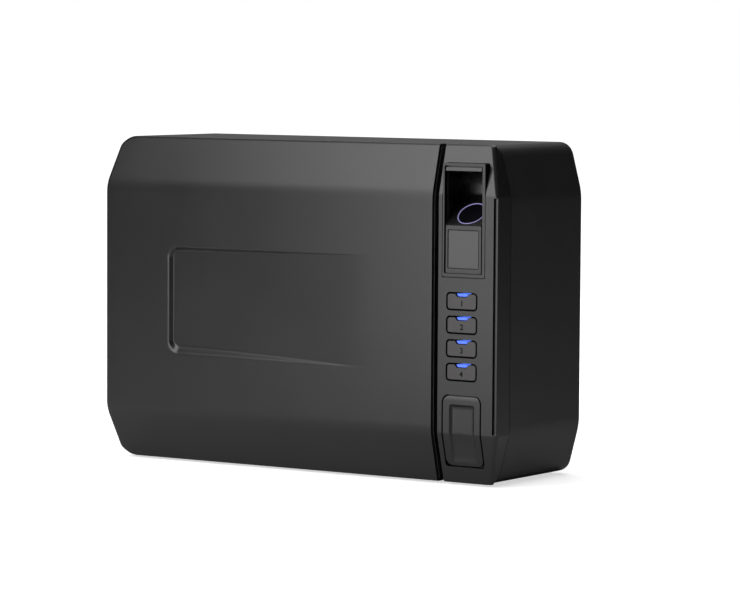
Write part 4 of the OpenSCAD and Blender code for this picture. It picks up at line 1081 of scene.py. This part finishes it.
def floor_material():
    """A white floor that brightens into the backdrop away from the object.

    The camera sees this white, while the object is lit by a grey that darkens behind it.
    """
    material, nodes, links = new_material("studio_floor")
    shader = nodes["Principled BSDF"]
    shader.inputs["Roughness"].default_value = 0.9
    shader.inputs["Specular IOR Level"].default_value = 0.1
    shader.inputs["Base Color"].default_value = FLOOR_WHITE
    place = nodes.new("ShaderNodeTexCoord").outputs["Object"]
    reach = nodes.new("ShaderNodeVectorMath")
    reach.operation = "LENGTH"
    links.new(place, reach.inputs[0])
    glow = nodes.new("ShaderNodeEmission")
    links.new(remap(nodes, links, reach.outputs["Value"], GLOW_REACH, GLOW),
              glow.inputs["Strength"])
    both = nodes.new("ShaderNodeAddShader")
    links.new(shader.outputs["BSDF"], both.inputs[0])
    links.new(glow.outputs["Emission"], both.inputs[1])
    path = nodes.new("ShaderNodeLightPath")
    mix = nodes.new("ShaderNodeMixShader")
    grey = nodes.new("ShaderNodeBsdfDiffuse")
    axes = nodes.new("ShaderNodeSeparateXYZ")
    links.new(place, axes.inputs["Vector"])
    links.new(remap(nodes, links, axes.outputs["Y"], SHADE_Y, SHADE, "LINEAR"),
              grey.inputs["Color"])
    links.new(path.outputs["Is Camera Ray"], mix.inputs["Fac"])
    links.new(grey.outputs["BSDF"], mix.inputs[1])
    links.new(both.outputs["Shader"], mix.inputs[2])
    links.new(mix.outputs["Shader"], nodes["Material Output"].inputs["Surface"])
    return material


def studio_floor():
    bm = bmesh.new()
    bmesh.ops.create_grid(bm, x_segments=4, y_segments=4, size=FLOOR_SIZE)
    mesh = bpy.data.meshes.new("studio_floor")
    bm.to_mesh(mesh)
    bm.free()
    mesh.materials.append(floor_material())
    obj = bpy.data.objects.new("studio_floor", mesh)
    bpy.context.scene.collection.objects.link(obj)


def softbox(name, azimuth, elevation, distance, size, power, aim=(0, 0, 0.115)):
    """An area light that faces aim; azimuth 0 is in front of it, 90 on its right."""
    a, e = math.radians(azimuth), math.radians(elevation)
    back = Vector((math.sin(a) * math.cos(e), -math.cos(a) * math.cos(e), math.sin(e)))
    data = bpy.data.lights.new(name, "AREA")
    data.shape = "RECTANGLE"
    data.size, data.size_y = size
    data.energy = power
    obj = bpy.data.objects.new(name, data)
    obj.location = Vector(aim) + back * distance
    obj.rotation_euler = back.to_track_quat("Z", "Y").to_euler()
    obj.visible_camera = False
    bpy.context.scene.collection.objects.link(obj)


def world():
    """A backdrop that the camera sees white, and that lights the object only a little."""
    scene_world = bpy.data.worlds.new("studio")
    bpy.context.scene.world = scene_world
    scene_world.use_nodes = True
    nodes, links = scene_world.node_tree.nodes, scene_world.node_tree.links
    seen = nodes["Background"]
    seen.inputs["Color"].default_value = (1, 1, 1, 1)
    seen.inputs["Strength"].default_value = 1.0
    dim = nodes.new("ShaderNodeBackground")
    dim.inputs["Color"].default_value = (1, 1, 1, 1)
    dim.inputs["Strength"].default_value = ROOM_LIGHT
    path = nodes.new("ShaderNodeLightPath")
    mix = nodes.new("ShaderNodeMixShader")
    links.new(path.outputs["Is Camera Ray"], mix.inputs["Fac"])
    links.new(dim.outputs["Background"], mix.inputs[1])
    links.new(seen.outputs["Background"], mix.inputs[2])
    links.new(mix.outputs["Shader"], nodes["World Output"].inputs["Surface"])


def camera():
    """The photo's camera, as solved from the edges of the body."""
    azimuth, elevation, roll = (math.radians(a) for a in CAMERA_TURN)
    back = Vector((math.sin(azimuth) * math.cos(elevation),
                   -math.cos(azimuth) * math.cos(elevation), math.sin(elevation)))
    right = (-back).cross(Vector((0, 0, 1))).normalized()
    up = right.cross(-back)
    across = right * math.cos(roll) + up * math.sin(roll)
    above = up * math.cos(roll) - right * math.sin(roll)
    data = bpy.data.cameras.new("camera")
    data.lens = LENS_MM
    data.sensor_width = SENSOR_MM
    obj = bpy.data.objects.new("camera", data)
    turn = Matrix((across, above, back)).transposed().to_4x4()
    obj.matrix_world = Matrix.Translation(CAMERA_PLACE) @ turn
    bpy.context.scene.collection.objects.link(obj)
    bpy.context.scene.camera = obj


camera()
studio_floor()
world()
# Name, azimuth, elevation, distance, size, power and aim
softbox("key_softbox", 0, 0, 0.8, (0.66, 0.5), 3.3, (-0.135, -0.055, 0.235))
softbox("upper_softbox", 0, 14, 0.85, (0.62, 1.0), 9.6, (-0.43, -0.055, 0.8))
softbox("overhead_softbox", 0, 90, 2.2, (2.6, 2.6), 40)
softbox("top_glow", 213, 17, 1.4, (0.6, 0.35), 0.34, (0, 0, 0.22))
softbox("rear_softbox", 184, 58, 1.4, (0.5, 0.7), 2.4, (0, 0, 0.11))
bpy.context.scene.view_settings.view_transform = "Standard"
